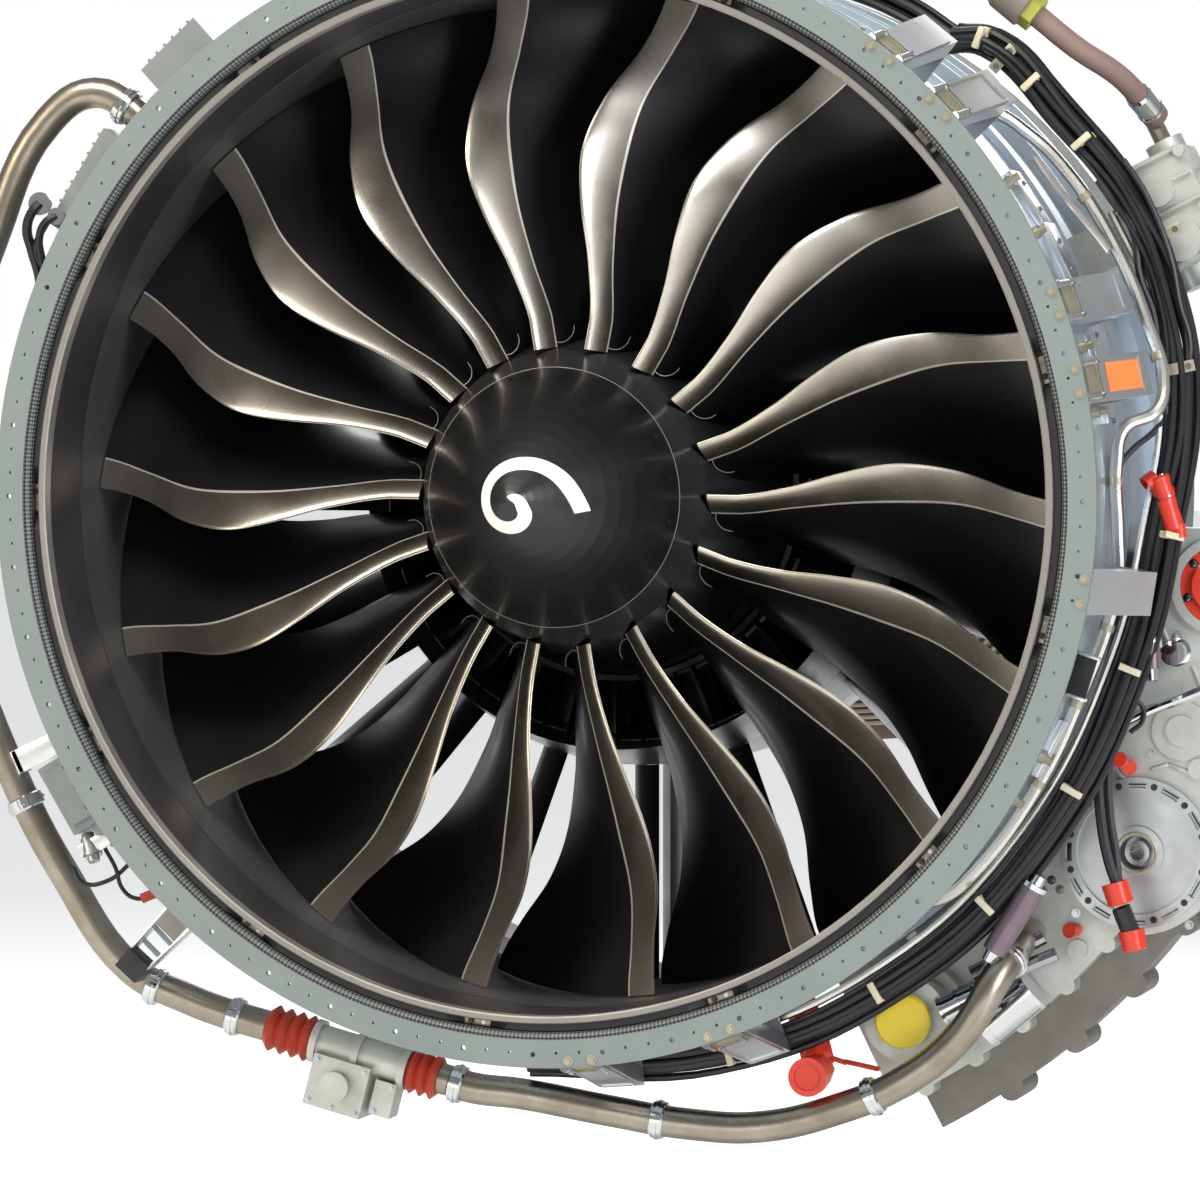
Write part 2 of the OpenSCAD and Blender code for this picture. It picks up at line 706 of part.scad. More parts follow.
module pump_cover() {
    color([0.86, 0.20, 0.12]) translate([cover_at.x, 0, cover_at.y]) union() {
        band(0, cover_r, gearbox_y - 9, gearbox_y - 4);
        turned([[0, gearbox_y - 26], [cover_r - 24, gearbox_y - 26], [cover_r - 16, gearbox_y - 8.5],
            [0, gearbox_y - 8.5]]);
    }
}

transfer_at_r = skin_r + 173;
module transfer_gearbox() {
    flange_top = skin_r + joint_h + 1;
    color([0.56, 0.57, 0.57]) at(radial_shaft_angle) difference() {
        union() {
            radial_rod(64, skin_r + 2, transfer_at_r + 40, shaft_y);
            translate([transfer_at_r, 0, 0]) rod(58, shaft_y - 120, shaft_y + 50);
            radial_rod(84, skin_r + 34, skin_r + 46, shaft_y);
        }
        radial_rod(radial_shaft_r + radial_shaft_gap, 900, transfer_at_r + 2, shaft_y);
        translate([transfer_at_r, 0, 0]) rod(drive_r + 6, shaft_y - 130, shaft_y);
        rod(skin_r + 1, shaft_y - 130, shaft_y + 130);
        band(skin_r, flange_top, shaft_y - 130, case_len + joint_t + 1);
        band(skin_r, flange_top, frame_end - joint_t - 1, shaft_y + 130);
    }
}

module radial_drive_shaft() {
    color([0.62, 0.63, 0.65]) at(radial_shaft_angle) union() {
        radial_rod(radial_shaft_r, 168, transfer_at_r - drive_r - 4, shaft_y);
        radial_rod(radial_shaft_r + 5, 560, 600, shaft_y);
        translate([132, shaft_y, 0]) rotate([0, 90, 0]) cylinder(r1 = 26, r2 = 42, h = 36);
    }
}

module transfer_drive_shaft() {
    color([0.62, 0.63, 0.65]) at(radial_shaft_angle) translate([transfer_at_r, 0, 0]) union() {
        rod(drive_r - 6, gearbox_y + gearbox_front_t + gearbox_rear_t + 1, shaft_y - 10);
        rod(drive_r, shaft_y - 115, shaft_y - 95);
    }
}

// Starter and air supply
module starter() {
    y0 = gearbox_y - starter_len;
    color([0.62, 0.63, 0.63]) translate([starter_at.x, 0, starter_at.y]) union() {
        rod(starter_r, gearbox_y - 60, gearbox_y);
        rod(starter_r - 22, y0 + 30, gearbox_y - 59);
        rod(50, y0, y0 + 31);
        around(6) translate([starter_r - 9, 0, 0]) rod(12, gearbox_y - 70, gearbox_y - 59);
    }
}

module starter_cap() {
    y0 = gearbox_y - starter_len;
    color([0.88, 0.74, 0.10]) translate([starter_at.x, 0, starter_at.y])
        turned([[0, y0 - 8], [50, y0 - 8], [54, y0 - 4], [54, y0 + 14], [50.5, y0 + 14], [50.5, y0 - 0.5],
            [0, y0 - 0.5]]);
}

// Smooth curve through a list of numbers or points
function pick(v, i) = v[max(0, min(len(v) - 1, i))];
function smooth(v, u) = let (i = floor(u), t = u - i, a = pick(v, i - 1), b = pick(v, i),
    c = pick(v, i + 1), d = pick(v, i + 2))
    b + 0.5 * t * (c - a + t * (2 * a - 5 * b + 4 * c - d + t * (3 * (b - c) + d - a)));
function unit(v) = v / norm(v);

// Solid through rings that hold the same even number of points
module loft(rings) {
    m = len(rings[0]);
    last = len(rings) - 1;
    sides = [for (i = [0 : last - 1], j = [0 : m - 1])
        let (a = i * m + j, b = i * m + (j + 1) % m) each [[a, b, b + m], [a, b + m, a + m]]];
    start = [for (j = [0 : m / 2 - 2]) let (c = m - 2 - j) each [[j, c, j + 1], [j, c + 1, c]]];
    end = [for (f = start) [f[0] + last * m, f[2] + last * m, f[1] + last * m]];
    polyhedron(points = [for (r = rings) each r], faces = concat(sides, start, end));
}

// Round pipe along a smooth route
module hose(points, r, sides = 8, steps = 2) {
    n = len(points) - 1;
    last = n * steps;
    line = [for (i = [0 : last]) smooth(points, i / steps)];
    rings = [for (i = [0 : last])
        let (t = unit(i == 0 ? points[1] - points[0] : i == last ? points[n] - points[n - 1]
                : line[i + 1] - line[i - 1]),
            e = unit(cross(t, abs(t.y) > 0.8 ? [0, 0, 1] : [0, 1, 0])), f = cross(e, t))
        [for (j = [0 : sides - 1]) line[i] + r * (cos(360 * j / sides) * e + sin(360 * j / sides) * f)]];
    loft(rings);
}

// Places a piece at a point of a clock plane, its own Z along a direction in that plane
module toward(p, y, angle) {
    translate([p.x, y, p.y]) rotate([0, -angle, 0]) rotate([0, 90, 0]) children();
}

duct_y = 330;
valve_lean = -14.5;
bellows_1 = off_skin(198, -121.1);
function valve_line(d) = bellows_1 + d * [cos(valve_lean), sin(valve_lean)];
valve_start = valve_line(100);
valve_end = valve_line(305);
bellows_2_end = valve_line(370);
// Routes by distance from the case's skin, distance aft and clock angle
function on_route(p) = [off_skin(p[0], p[2]).x, p[1], off_skin(p[0], p[2]).y];
function in_plane(p, y) = [p.x, y, p.y];
left_stations = [
    [0, duct_y, 140.2], [121, duct_y, 140.3], [239, duct_y, 141.3], [287, duct_y, 145.9],
    [280, duct_y, 157.3], [288, duct_y, 170], [294, duct_y, -177.4], [277, duct_y, -166],
    [269, duct_y, -154.7], [276, duct_y, -144.3], [291, duct_y, -134.2], [254, duct_y, -128.7]];
lower_stations = [
    [144, duct_y, -95.8], [167, duct_y, -87.2], [209, duct_y, -79.4], [242, duct_y, -73.3],
    [258, duct_y, -66.4], [265, duct_y, -59.7], [248, duct_y, -53.4], [206, 345, -48.2],
    [186, 410, -45.7], [174, gearbox_y - 60, -45], [174, gearbox_y, -45]];
left_duct = concat([for (p = left_stations) on_route(p)],
    [in_plane(valve_line(-80), duct_y), in_plane(bellows_1, duct_y)]);
lower_duct = concat([in_plane(bellows_2_end, duct_y), in_plane(valve_line(440), duct_y)],
    [for (p = lower_stations) on_route(p)]);
module air_duct() {
    color([0.70, 0.66, 0.58]) difference() {
        union() {
            hose(left_duct, duct_r);
            hose(lower_duct, duct_r);
        }
        case_space(250, 420);
    }
}

module bellows(from, to, n) {
    step = norm(to - from) / (2 * n);
    toward(from, duct_y, valve_lean) rotate_extrude()
        polygon(concat([[0, 0.4]], [for (i = [0 : 2 * n])
            [duct_r + (i % 2 == 0 ? 4 : 16), i == 0 ? 0.4 : i == 2 * n ? i * step - 0.4 : i * step]],
            [[0, 2 * n * step - 0.4]]));
}
module duct_bellows() {
    color([0.75, 0.20, 0.12]) union() {
        bellows(bellows_1, valve_start, 4);
        bellows(valve_end, bellows_2_end, 3);
    }
}

module air_valve() {
    reach = norm(valve_end - valve_start);
    color([0.68, 0.69, 0.68]) union() {
        toward(valve_start, duct_y, valve_lean) {
            cylinder(r = duct_r + 5, h = reach);
            for (z = [0, 90, reach - 14]) translate([0, 0, z]) cylinder(r = duct_r + 13, h = 14);
        }
        translate([valve_start.x, duct_y, valve_start.y]) rotate([0, -valve_lean, 0]) {
            translate([20, -52, -118]) cube([120, 92, 104]);
            translate([150, -30, -104]) cube([44, 60, 70]);
            translate([80, -6, -66]) rod(30, -66, 1);
        }
        at(-112) radial_rod(16, skin_r + 9.3, skin_r + 143, duct_y + 60);
        at(-112) translate([skin_r + 108, duct_y, -14]) cube([30, 72, 28]);
    }
}

elbow_stations = [
    [-7, 440, -67], [86, 440, -67.2], [159, 420, -67.3], [178, 370, -67.3], [178, 335, -67.3],
    [178, 296, -67.3]];
module duct_elbow_cap() {
    tip = on_route(elbow_stations[5]);
    color([0.85, 0.22, 0.13]) difference() {
        union() {
            hose([for (p = elbow_stations) on_route(p)], 33, 10);
            translate([tip.x, 0, tip.z]) rod(38, tip.y - 4, tip.y + 26);
        }
        case_space(300, 600);
        translate([tip.x, 0, tip.z]) rod(27, tip.y - 6, tip.y + 1);
    }
}

module oil_filter() {
    color([0.80, 0.80, 0.80]) at(-50) translate([skin_r + 258, gearbox_y - 52, 0]) union() {
        translate([0, 0, -70]) cylinder(r = 40, h = 120);
        translate([0, 0, -78]) cylinder(r = 44, h = 14);
        translate([0, 0, 42]) cylinder(r = 46, h = 10);
        rod(24, 0, 52);
        translate([-62, 40, -24]) cube([84, 12, 48]);
    }
}

// Units on the case
control_y = 515;
module fuel_control() {
    color([0.80, 0.80, 0.77]) at(control_angle) difference() {
        translate([skin_r, control_y, 0]) union() {
            translate([146, 0, -110]) cube([150, 190, 220]);
            translate([-2, 50, -45]) cube([150, 90, 90]);
            radial_rod(62, 288, 334, 95);
            translate([220, 0, -60]) rod(44, -34, 1);
            translate([220, 0, 46]) rod(34, -22, 1);
            translate([258, 90, 109]) cylinder(r = 38, h = 26);
            translate([208, 100, -150]) cylinder(r = 42, h = 42);
            for (z = [-104 : 52 : 104]) translate([150, -8, z - 3]) cube([142, 9, 6]);
            for (x = [152, 290], z = [-96, -20, 96]) translate([x, 0, z]) rod(11, -14, 1);
            translate([240, 40, -168]) rotate([-90, 0, 0]) cylinder(r = 26, h = 120);
            translate([228, 60, -168]) cube([24, 80, 62]);
        }
        case_space(400, 659);
    }
}

tank_r0 = skin_r + 24;
tank_r1 = tank_r0 + tank_depth;
hinge_at = [skin_r + 58, -34];
module oil_tank() {
    color([0.70, 0.71, 0.70]) difference() {
        union() {
            arc_block(tank_r0, tank_r1, 600, 900, 166, 196);
            for (y = [640, 850]) arc_block(tank_r0, tank_r1 + 8, y, y + 24, 165.5, 196.5);
            at(166) translate([skin_r + 108, 750, -26]) cylinder(r = 38, h = 30);
            at(196) translate([skin_r + 108, 750, 0]) cylinder(r = 22, h = 40);
            at(166) for (y = [727, 764]) translate([hinge_at.x - 7, y, -41]) cube([14, 9, 45]);
            for (a = [170, 192], y = [640, 850]) at(a) translate([skin_r, y, -16]) cube([40, 24, 32]);
        }
        at(166) translate([hinge_at.x, 0, hinge_at.y]) rod(3, 720, 780);
        case_space(580, 680);
        rod(skin_r + 0.6, 680, 920, $fn = 180);
    }
}

module oil_filler_cap() {
    color([0.20, 0.20, 0.21]) at(166) union() {
        translate([skin_r + 108, 750, -44]) cylinder(r = 42, h = 17.5);
        translate([hinge_at.x, 738, -40]) cube([18, 24, 12]);
        translate([hinge_at.x, 0, hinge_at.y]) rod(6, 737, 763);
        translate([hinge_at.x, 0, hinge_at.y]) rod(2.8, 728, 772);
    }
}

module finned_box(x0, y0, z0, x1, y1, z1) {
    translate([x0, y0, z0]) cube([x1 - x0, y1 - y0, z1 - z0]);
    for (z = [z0 + 14 : 22 : z1 - 18]) translate([x1 - 1, y0 + 12, z]) cube([9, y1 - y0 - 24, 6]);
}

module engine_controller() {
    color([0.52, 0.54, 0.54]) at(148) difference() {
        union() {
            finned_box(skin_r + 56, 250, -110, skin_r + 153, 520, 110);
            for (z = [-70, 60]) translate([skin_r - 12, 300, z]) cube([70, 40, 22]);
            for (z = [-70, 60]) translate([skin_r - 12, 440, z]) cube([70, 40, 22]);
            translate([skin_r + 108, 0, -30]) rod(24, 226, 251);
            translate([skin_r + 108, 0, 60]) rod(20, 230, 251);
        }
        case_space(200, 600);
    }
}

module exciter_boxes() {
    color([0.50, 0.51, 0.51]) difference() {
        union() {
            at(133) finned_box(skin_r + 78, 260, -80, skin_r + 173, 420, 70);
            at(-149) translate([skin_r + 48, 230, -90]) cube([130, 190, 150]);
            at(-149) translate([skin_r + 60, 222, -74]) cube([106, 9, 118]);
            at(-149) translate([skin_r + 60, 236, 56]) cube([80, 150, 28]);
            for (z = [0, 30]) at(-149) translate([skin_r + 96, 196, z - 60]) rotate([-90, 0, 0])
                cylinder(r = 13, h = 40);
            for (a = [133, -149], z = [-50, 30]) at(a) translate([skin_r - 12, 300, z]) cube([91, 40, 22]);
        }
        case_space(200, 600);
    }
}

module channel_brackets() {
    seat = skin_r + 9;
    reach = skin_r + 118;
    color([0.76, 0.78, 0.80]) difference() {
        for (a = [51, 43, 20, 12, -9, -70, -85]) at(a) {
            difference() {
                translate([0, 0, -42]) linear_extrude(84)
                    polygon([[case_r + 37, flange_t], [flange_r - 6, flange_t], [reach, 300], [reach - 38, 300]]);
                translate([0, 0, -38]) linear_extrude(76)
                    polygon([[case_r + 30, flange_t - 1], [flange_r - 10, flange_t - 1], [reach - 4, 301],
                        [reach - 50, 301]]);
            }
            translate([seat - 10, 294, -42]) cube([reach - 26 - seat, 6, 84]);
        }
        case_space(250, 320);
    }
}

drain_stations = [
    [-3, 430, 45], [51, 430, 43], [81, 430, 38.6], [98, 430, 33.6], [111, 420, 25],
    [121, 400, 17], [128, 380, 10.6], [107, 360, 8.3], [48, 340, 7.1], [28, 330, 3.7],
    [30, 330, -3.2], [40, 330, -8], [38, 335, -12], [27, 335, -19.7], [28, 335, -30.9],
    [30, 335, -42.6], [22, 335, -46.6], [-14, 335, -49.6]];
module drain_tubes() {
    color([0.72, 0.70, 0.64]) difference() {
        hose([for (p = drain_stations) on_route(p)], 13, 8, 1);
        case_space(300, 500);
    }
}

// Route of the cable bundle, and four touching round cables as its section
loom_stations = [[90, 532, 52], [148, 482, 48], [152, 462, 38], [170, 452, 28],
    [174, 447, 19], [148, 442, 9], [106, 412, -3], [94, 374, -16],
    [90, 357, -36], [90, 347, -56], [88, 337, -76], [70, 332, -95]];
loom_section = [for (q = [45 : 90 : 315], a = [q - 60, q, q + 60])
    sqrt(2) * loom_r * [cos(q), sin(q)] * 1.1 + loom_r * [cos(a), sin(a)]];
module wiring_loom() {
    color([0.10, 0.10, 0.12]) loft([for (p = loom_stations) [for (q = loom_section)
        let (r = skin_r + p[0] + q.x) [r * cos(p[2]), p[1] + q.y, r * sin(p[2])]]]);
}

hose_stations = [
    [-8, 430, 66], [75, 430, 66.1], [170, 430, 64.1], [223, 430, 59.1], [236, 435, 53],
    [244, 440, 46.8], [256, 450, 42], [279, 500, 38.1], [280, 575, 35.1]];
// Point beside the control unit, given in its own turned frame
control_angle = 26;
function by_control(x, y, z) = [(skin_r + x) * cos(control_angle) - z * sin(control_angle), control_y + y,
    (skin_r + x) * sin(control_angle) + z * cos(control_angle)];
module supply_hose() {
    color([0.50, 0.36, 0.30]) difference() {
        hose(concat([for (p = hose_stations) on_route(p)], [by_control(258, 90, 190),
            by_control(258, 90, 135.2)]), 24, 8);
        case_space(300, 500);
    }
}

// Fan blades: a section is given by the running number u of the span steps
function span_r(u) = blade_foot_r + (fan_tip_r - blade_foot_r) * u / 6;
function shape_at(u) = [smooth(nose_angle, u), smooth(nose_depth, u), smooth(chord_len, u),
    smooth(inlet_angle, u), smooth(outlet_angle, u), smooth(thickness, u), smooth(guard_width, u)];
// Half thickness against the chord, 1 at its thickest
function fullness(s) = s < 0.4 ? sqrt(1 - pow((0.4 - s) / 0.4, 2)) : 1 - 0.85 * pow((s - 0.4) / 0.6, 2);
function foil_point(b, s, side, proud) = let (
    beta = b[3] + (b[4] - b[3]) * s,
    turn = (b[4] - b[3]) * PI / 180,
    half = b[5] / 2 * fullness(s) + proud)
    [b[2] * (cos(b[3]) - cos(beta)) / turn + side * half * cos(beta),
        b[1] + b[2] * (sin(beta) - sin(b[3])) / turn - side * half * sin(beta)];
function on_cylinder(p, r, b) = let (a = p[0] / r * 180 / PI - b[0]) [r * cos(a), p[1], -r * sin(a)];
function on_plane(p, r, b) = [r, p[1], blade_foot_r * sin(b[0]) - p[0]];
function placed(p, r, b) = r > blade_foot_r ? on_cylinder(p, r, b) : on_plane(p, r, b);

function blade_flat(b, gap) = let (s0 = (b[6] + bond_line) / b[2],
    s = [for (t = [0, 0.18, 0.4, 0.62, 0.82, 1]) s0 + (1 - s0) * t])
    concat([for (t = s) foil_point(b, t, 1, gap)], [for (t = reversed(s)) foil_point(b, t, -1, gap)]);
function guard_flat(b) = let (s = [for (t = [1, 0.45, 0.14, 0.01]) t * b[6] / b[2]])
    concat([for (t = s) foil_point(b, t, 1, guard_proud)],
        [for (t = reversed(s)) foil_point(b, t, -1, guard_proud)]);

root_mid = [34, 352];
function root_flat(half_w) = let (c = cos(dovetail_skew), d = sin(dovetail_skew))
    [for (i = [0 : 11]) let (along = (i < 6 ? i : 11 - i) / 5 - 0.5, side = i < 6 ? 1 : -1)
        [root_mid.x + along * dovetail_len * d + side * half_w * c,
            root_mid.y + along * dovetail_len * c - side * half_w * d]];
root_steps = [[205, 20], [228, dovetail_w], [disk_r + 1, 16]];
foot = shape_at(0);
blade_u = [for (i = [0 : blade_steps]) 6 * i / blade_steps];

module blade() {
    loft(concat([for (k = root_steps) [for (p = root_flat(k[1])) on_plane(p, k[0], foot)]],
        [[for (p = blade_flat(foot, 0)) on_plane(p, root_low_r, foot)]],
        [for (u = blade_u) let (b = shape_at(u)) [for (p = blade_flat(b, 0)) placed(p, span_r(u), b)]]));
}
module guard() {
    loft(concat([[for (p = guard_flat(foot)) on_plane(p, guard_low_r, foot)]],
        [for (u = blade_u) let (b = shape_at(u)) [for (p = guard_flat(b)) placed(p, span_r(u), b)]]));
}
guard_low_r = 288;

module fan_blades() {
    color([0.08, 0.08, 0.09]) around(fan_blades_n, fan_clock) blade();
}
module leading_edge_guards() {
    color([0.55, 0.50, 0.43]) around(fan_blades_n, fan_clock) guard();
}

// Turned platform cut by the blades' feet
module blade_platforms() {
    color([0.22, 0.22, 0.23]) difference() {
        wall(hub_line, -13, 0);
        around(fan_blades_n, fan_clock) foot_slot();
    }
}
module foot_slot() {
    shift = blade_foot_r * sin(foot[0]);
    nose = guard_flat(foot);
    body = blade_flat(foot, 1.2);
    outline = concat(body,
        [for (i = [7 : -1 : 4]) nose[i] + [-1.2, -1]], [for (i = [3 : -1 : 0]) nose[i] + [1.2, -1]]);
    rotate([0, 90, 0]) linear_extrude(blade_foot_r + 20) polygon([for (p = outline) [p[0] - shift, p[1]]]);
}

disk_end = hub_end - 25;
module fan_disk() {
    shift = blade_foot_r * sin(foot[0]);
    color([0.45, 0.46, 0.48]) difference() {
        turned([[120, 320], [150, 300], [180, 290], [185, 200], [236, 196], [238, 162], [244, 162],
            [246, 196], [disk_r, 200], [disk_r, disk_end], [186, disk_end], [180, 400], [150, 390], [130, 470],
            [fan_shaft_r + 60, 470], [fan_shaft_r + 60, 460]]);
        around(fan_blades_n, fan_clock) translate([0, root_mid.y, shift - root_mid.x])
            rotate([-dovetail_skew, 0, 0]) plate(-170, 170) polygon([
                [disk_r + 9, 16 + slot_gap], [disk_r + 1, 16 + slot_gap], [228, dovetail_w + slot_gap],
                [205 - slot_gap, 20 + slot_gap], [205 - slot_gap, -20 - slot_gap],
                [228, -dovetail_w - slot_gap], [disk_r + 1, -16 - slot_gap],
                [disk_r + 9, -16 - slot_gap]]);
    }
}

function cone_r(t) = spinner_r * (0.18 * sqrt(t) + 1.17 * t - 0.35 * t * t);
module spinner_cone() {
    tip_y = spinner_base_y - spinner_len;
    outer = [for (i = [0 : 16]) let (t = i / 16) [cone_r(t * t), tip_y + spinner_len * t * t]];
    inner = [for (i = [16 : -1 : 6]) let (t = i / 16)
        [cone_r(t * t) - spinner_wall, tip_y + spinner_len * t * t]];
    color([0.07, 0.07, 0.08]) turned(concat(outer, inner, [[0, inner[len(inner) - 1][1]]]));
}

module spinner_ring() {
    color([0.16, 0.16, 0.17]) turned([[222, spinner_base_y - 10], [239, spinner_base_y - 10],
        [spinner_r - spinner_wall - 0.5, spinner_base_y], [238.5, spinner_base_y], [238.5, 162], [222, 162]]);
}

// Turning parts
booster_rotor_y = [booster_y + 46, booster_y + 159, case_len - 75];
module booster_rotor() {
    drum = [[hub_end + 6, 343], [splitter_y, 358], [booster_y + 5, 360], [booster_y + 13, 382],
        [case_len - 22, 384]];
    color([0.60, 0.61, 0.63]) union() {
        wall(drum, -12, 0);
        turned([[240, disk_end], [disk_r - 1, disk_end], [343, hub_end + 7], [331, hub_end + 13],
            [240, disk_end + 11]]);
        for (y = booster_rotor_y) {
            vane_row(booster_row_n, r_at(drum, y) - 4, r_at(core_outer, y) - core_gap, y, 44, 4, 6, 32);
        }
    }
}

module fan_shaft() {
    color([0.66, 0.67, 0.70]) difference() {
        union() {
            rod(fan_shaft_r, 440, rear_y + 129);
            rod(fan_shaft_r + 11.5, rear_y + 61, rear_y + 117);
            turned([[fan_shaft_r - 1, 470], [fan_shaft_r + 74, 470], [fan_shaft_r + 74, 483],
                [fan_shaft_r + 25.5, 560], [fan_shaft_r + 25.5, booster_y - 9], [fan_shaft_r - 1, booster_y + 61]]);
        }
        rod(fan_shaft_bore_r, 430, rear_y + 139);
    }
}

module low_turbine_rotor() {
    web_y = low_turbine_y + 300;
    web_r = r_at(turbine_inner, web_y) - 9;
    color([0.52, 0.50, 0.47]) union() {
        wall([for (y = [low_turbine_y + 65, rear_y - 1]) [y, r_at(turbine_inner, y)]], -14, 0);
        for (y = low_rotor_y)
            rotor_row(turbine_row_n, y, 46, 6, 9, 30, turbine_inner, turbine_outer, 4);
        turned([[web_r, web_y - 8], [web_r, web_y + 10], [fan_shaft_r + 24, web_y + 120],
            [fan_shaft_r + 24, web_y + 210], [fan_shaft_r + 0.1, web_y + 210],
            [fan_shaft_r + 0.1, web_y + 90], [fan_shaft_r + 24, web_y + 90]]);
    }
}

module compressor_rotor() {
    drum = [for (y = [core_y + 12, core_y + 270, core_end - 14]) [y, r_at(core_inner, y)]];
    gear_y = shaft_y + 20;
    color([0.58, 0.59, 0.62]) difference() {
        union() {
            wall(drum, -12, 0);
            for (y = rotor_y)
                rotor_row(compressor_row_n, y, 28, 3, 4, 34, core_inner, core_outer, 4);
            rod(high_shaft_r, gear_y, turbine_y + 109);
            rod(high_shaft_r + 11.5, core_y - 146, core_y - 100);
            turned([[high_shaft_r - 1, core_y + 30], [high_shaft_r - 1, core_y],
                [r_at(core_inner, core_y + 16) - 6, core_y + 14], [r_at(core_inner, core_y + 32) - 6, core_y + 32]]);
            for (y = [core_y + 170, core_y + 330, core_end - 32]) turned([[high_shaft_r - 1, y - 12],
                [120, y - 4], [r_at(core_inner, y) - 8, y - 4], [r_at(core_inner, y) - 8, y + 4],
                [120, y + 4], [high_shaft_r - 1, y + 12]]);
            turned([for (p = [[high_shaft_r - 1, 0], [100, 0], [132, 8.5], [168, 24.5], [164, 30], [100, 32],
                [high_shaft_r - 1, 32]]) [p[0], gear_y + p[1]]]);
        }
        rod(fan_shaft_r + shaft_gap, gear_y - 150, turbine_y + 179);
    }
}

module high_turbine_rotor() {
    mid = turbine_y + 74;
    inner = [[turbine_y, 262], [low_turbine_y, 262]];
    outer = [[turbine_y, 362], [turbine_y + 109, 366]];
    color([0.54, 0.52, 0.50]) union() {
        turned([for (p = [[high_shaft_r + 0.1, -30], [110, -30], [150, -10], [230, -10], [240, -21],
            [262, -21], [262, 21], [240, 21], [230, 5], [150, 5], [110, 30], [high_shaft_r + 0.1, 30]])
            [p[0], mid + p[1]]]);
        rotor_row(turbine_row_n, mid, 36, 6, 9, 30, inner, outer, 5);
    }
}

// Rings that turn the variable stator vanes, each with its levers
module unison_rings() {
    color([0.64, 0.65, 0.67]) for (y = [for (i = [0 : 2]) stator_y[i]]) {
        r = r_at(core_outer, y) + core_wall + 25;
        band(r, r + 12, y + 18, y + 30);
        around(compressor_row_n, 6) translate([r + 2, y - 4, -4]) cube([5, 24, 8]);
    }
}

inlet_flange();
fan_case();
intake_lip_ring();
acoustic_panel();
tip_rub_ring();
aft_panel();
outlet_guide_vanes();
splitter_ring();
booster_guide_vanes();
booster_case();
fan_frame();
front_bearing_housing();
main_bearings();
compressor_case();
combustor_case();
combustor_liner();
fuel_nozzles();
igniters();
turbine_case();
turbine_cooling_tubes();
turbine_rear_frame();
tail_cone();
front_mount();
rear_mount();
gearbox_housing();
gearbox_rear_housing();
generator_pad();
pump_cover();
transfer_gearbox();
starter();
starter_cap();
air_valve();
air_duct();
duct_bellows();
duct_elbow_cap();
oil_filter();
fuel_control();
oil_tank();
oil_filler_cap();
engine_controller();
exciter_boxes();
channel_brackets();
drain_tubes();
wiring_loom();
supply_hose();
fan_blades();
leading_edge_guards();
blade_platforms();
fan_disk();
spinner_cone();
spinner_ring();
booster_rotor();
fan_shaft();
low_turbine_rotor();
compressor_rotor();
high_turbine_rotor();
radial_drive_shaft();
transfer_drive_shaft();
generator_drive();
unison_rings();
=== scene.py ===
# %% [markdown]
# The engine comes from its CAD model as one mesh per part, already in place and
# in metres. Loading it first gives a fixed frame: nothing below moves or reshapes
# a CAD part. New pieces are laid over it or stand in for a coarse one.

# %% Load the engine
import bpy, json, math, random
from mathutils import Matrix, Vector


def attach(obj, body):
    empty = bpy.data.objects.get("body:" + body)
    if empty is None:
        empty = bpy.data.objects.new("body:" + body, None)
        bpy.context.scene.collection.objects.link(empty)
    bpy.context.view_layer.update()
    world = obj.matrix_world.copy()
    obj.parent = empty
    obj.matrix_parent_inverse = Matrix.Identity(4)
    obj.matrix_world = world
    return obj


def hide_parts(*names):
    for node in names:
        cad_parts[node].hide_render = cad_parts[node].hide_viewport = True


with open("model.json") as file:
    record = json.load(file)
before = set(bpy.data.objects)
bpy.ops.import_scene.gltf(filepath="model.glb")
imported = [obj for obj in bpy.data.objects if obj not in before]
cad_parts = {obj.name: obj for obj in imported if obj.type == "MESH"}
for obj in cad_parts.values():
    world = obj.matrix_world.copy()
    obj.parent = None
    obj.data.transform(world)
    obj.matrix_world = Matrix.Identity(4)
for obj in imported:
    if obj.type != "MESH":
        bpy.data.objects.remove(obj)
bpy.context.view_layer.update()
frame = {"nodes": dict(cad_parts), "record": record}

MM = 0.001

# %% [markdown]
# A finish starts from the colour of the real surface. Colours are picked as sRGB
# hex values, as a paint chart gives them, while the renderer works in linear
# light, so one function turns the first into the second.

# %% Colours and nodes
def linear(hex_value):
    channels = [int(hex_value[i:i + 2], 16) / 255 for i in (1, 3, 5)]
    light = [c / 12.92 if c <= 0.04045 else ((c + 0.055) / 1.055) ** 2.4 for c in channels]
    return (*light, 1.0)


def add_node(tree, kind, settings=None, sockets=None, output=0):
    node = tree.nodes.new("ShaderNode" + kind)
    for name, value in (settings or {}).items():
        setattr(node, name, value)
    for name, value in (sockets or {}).items():
        if isinstance(value, bpy.types.NodeSocket):
            tree.links.new(value, node.inputs[name])
        else:
            node.inputs[name].default_value = value
    return node.outputs[output]


print("mid grey in linear light", round(linear("#808080")[0], 3))

# %% [markdown]
# Most engine surfaces differ in four things: base colour, a second colour that
# drifts over it (handling marks, heat tint, oxide), how rough they are, and the
# relief left by casting, milling, weaving or painting. One function builds that
# stack, so a new finish is a row of values. Every pattern size is in millimetres.

# %% The general finish
COAT_ROUGHNESS = 0.12


def shader_of(material):
    return material.node_tree.nodes["Principled BSDF"]


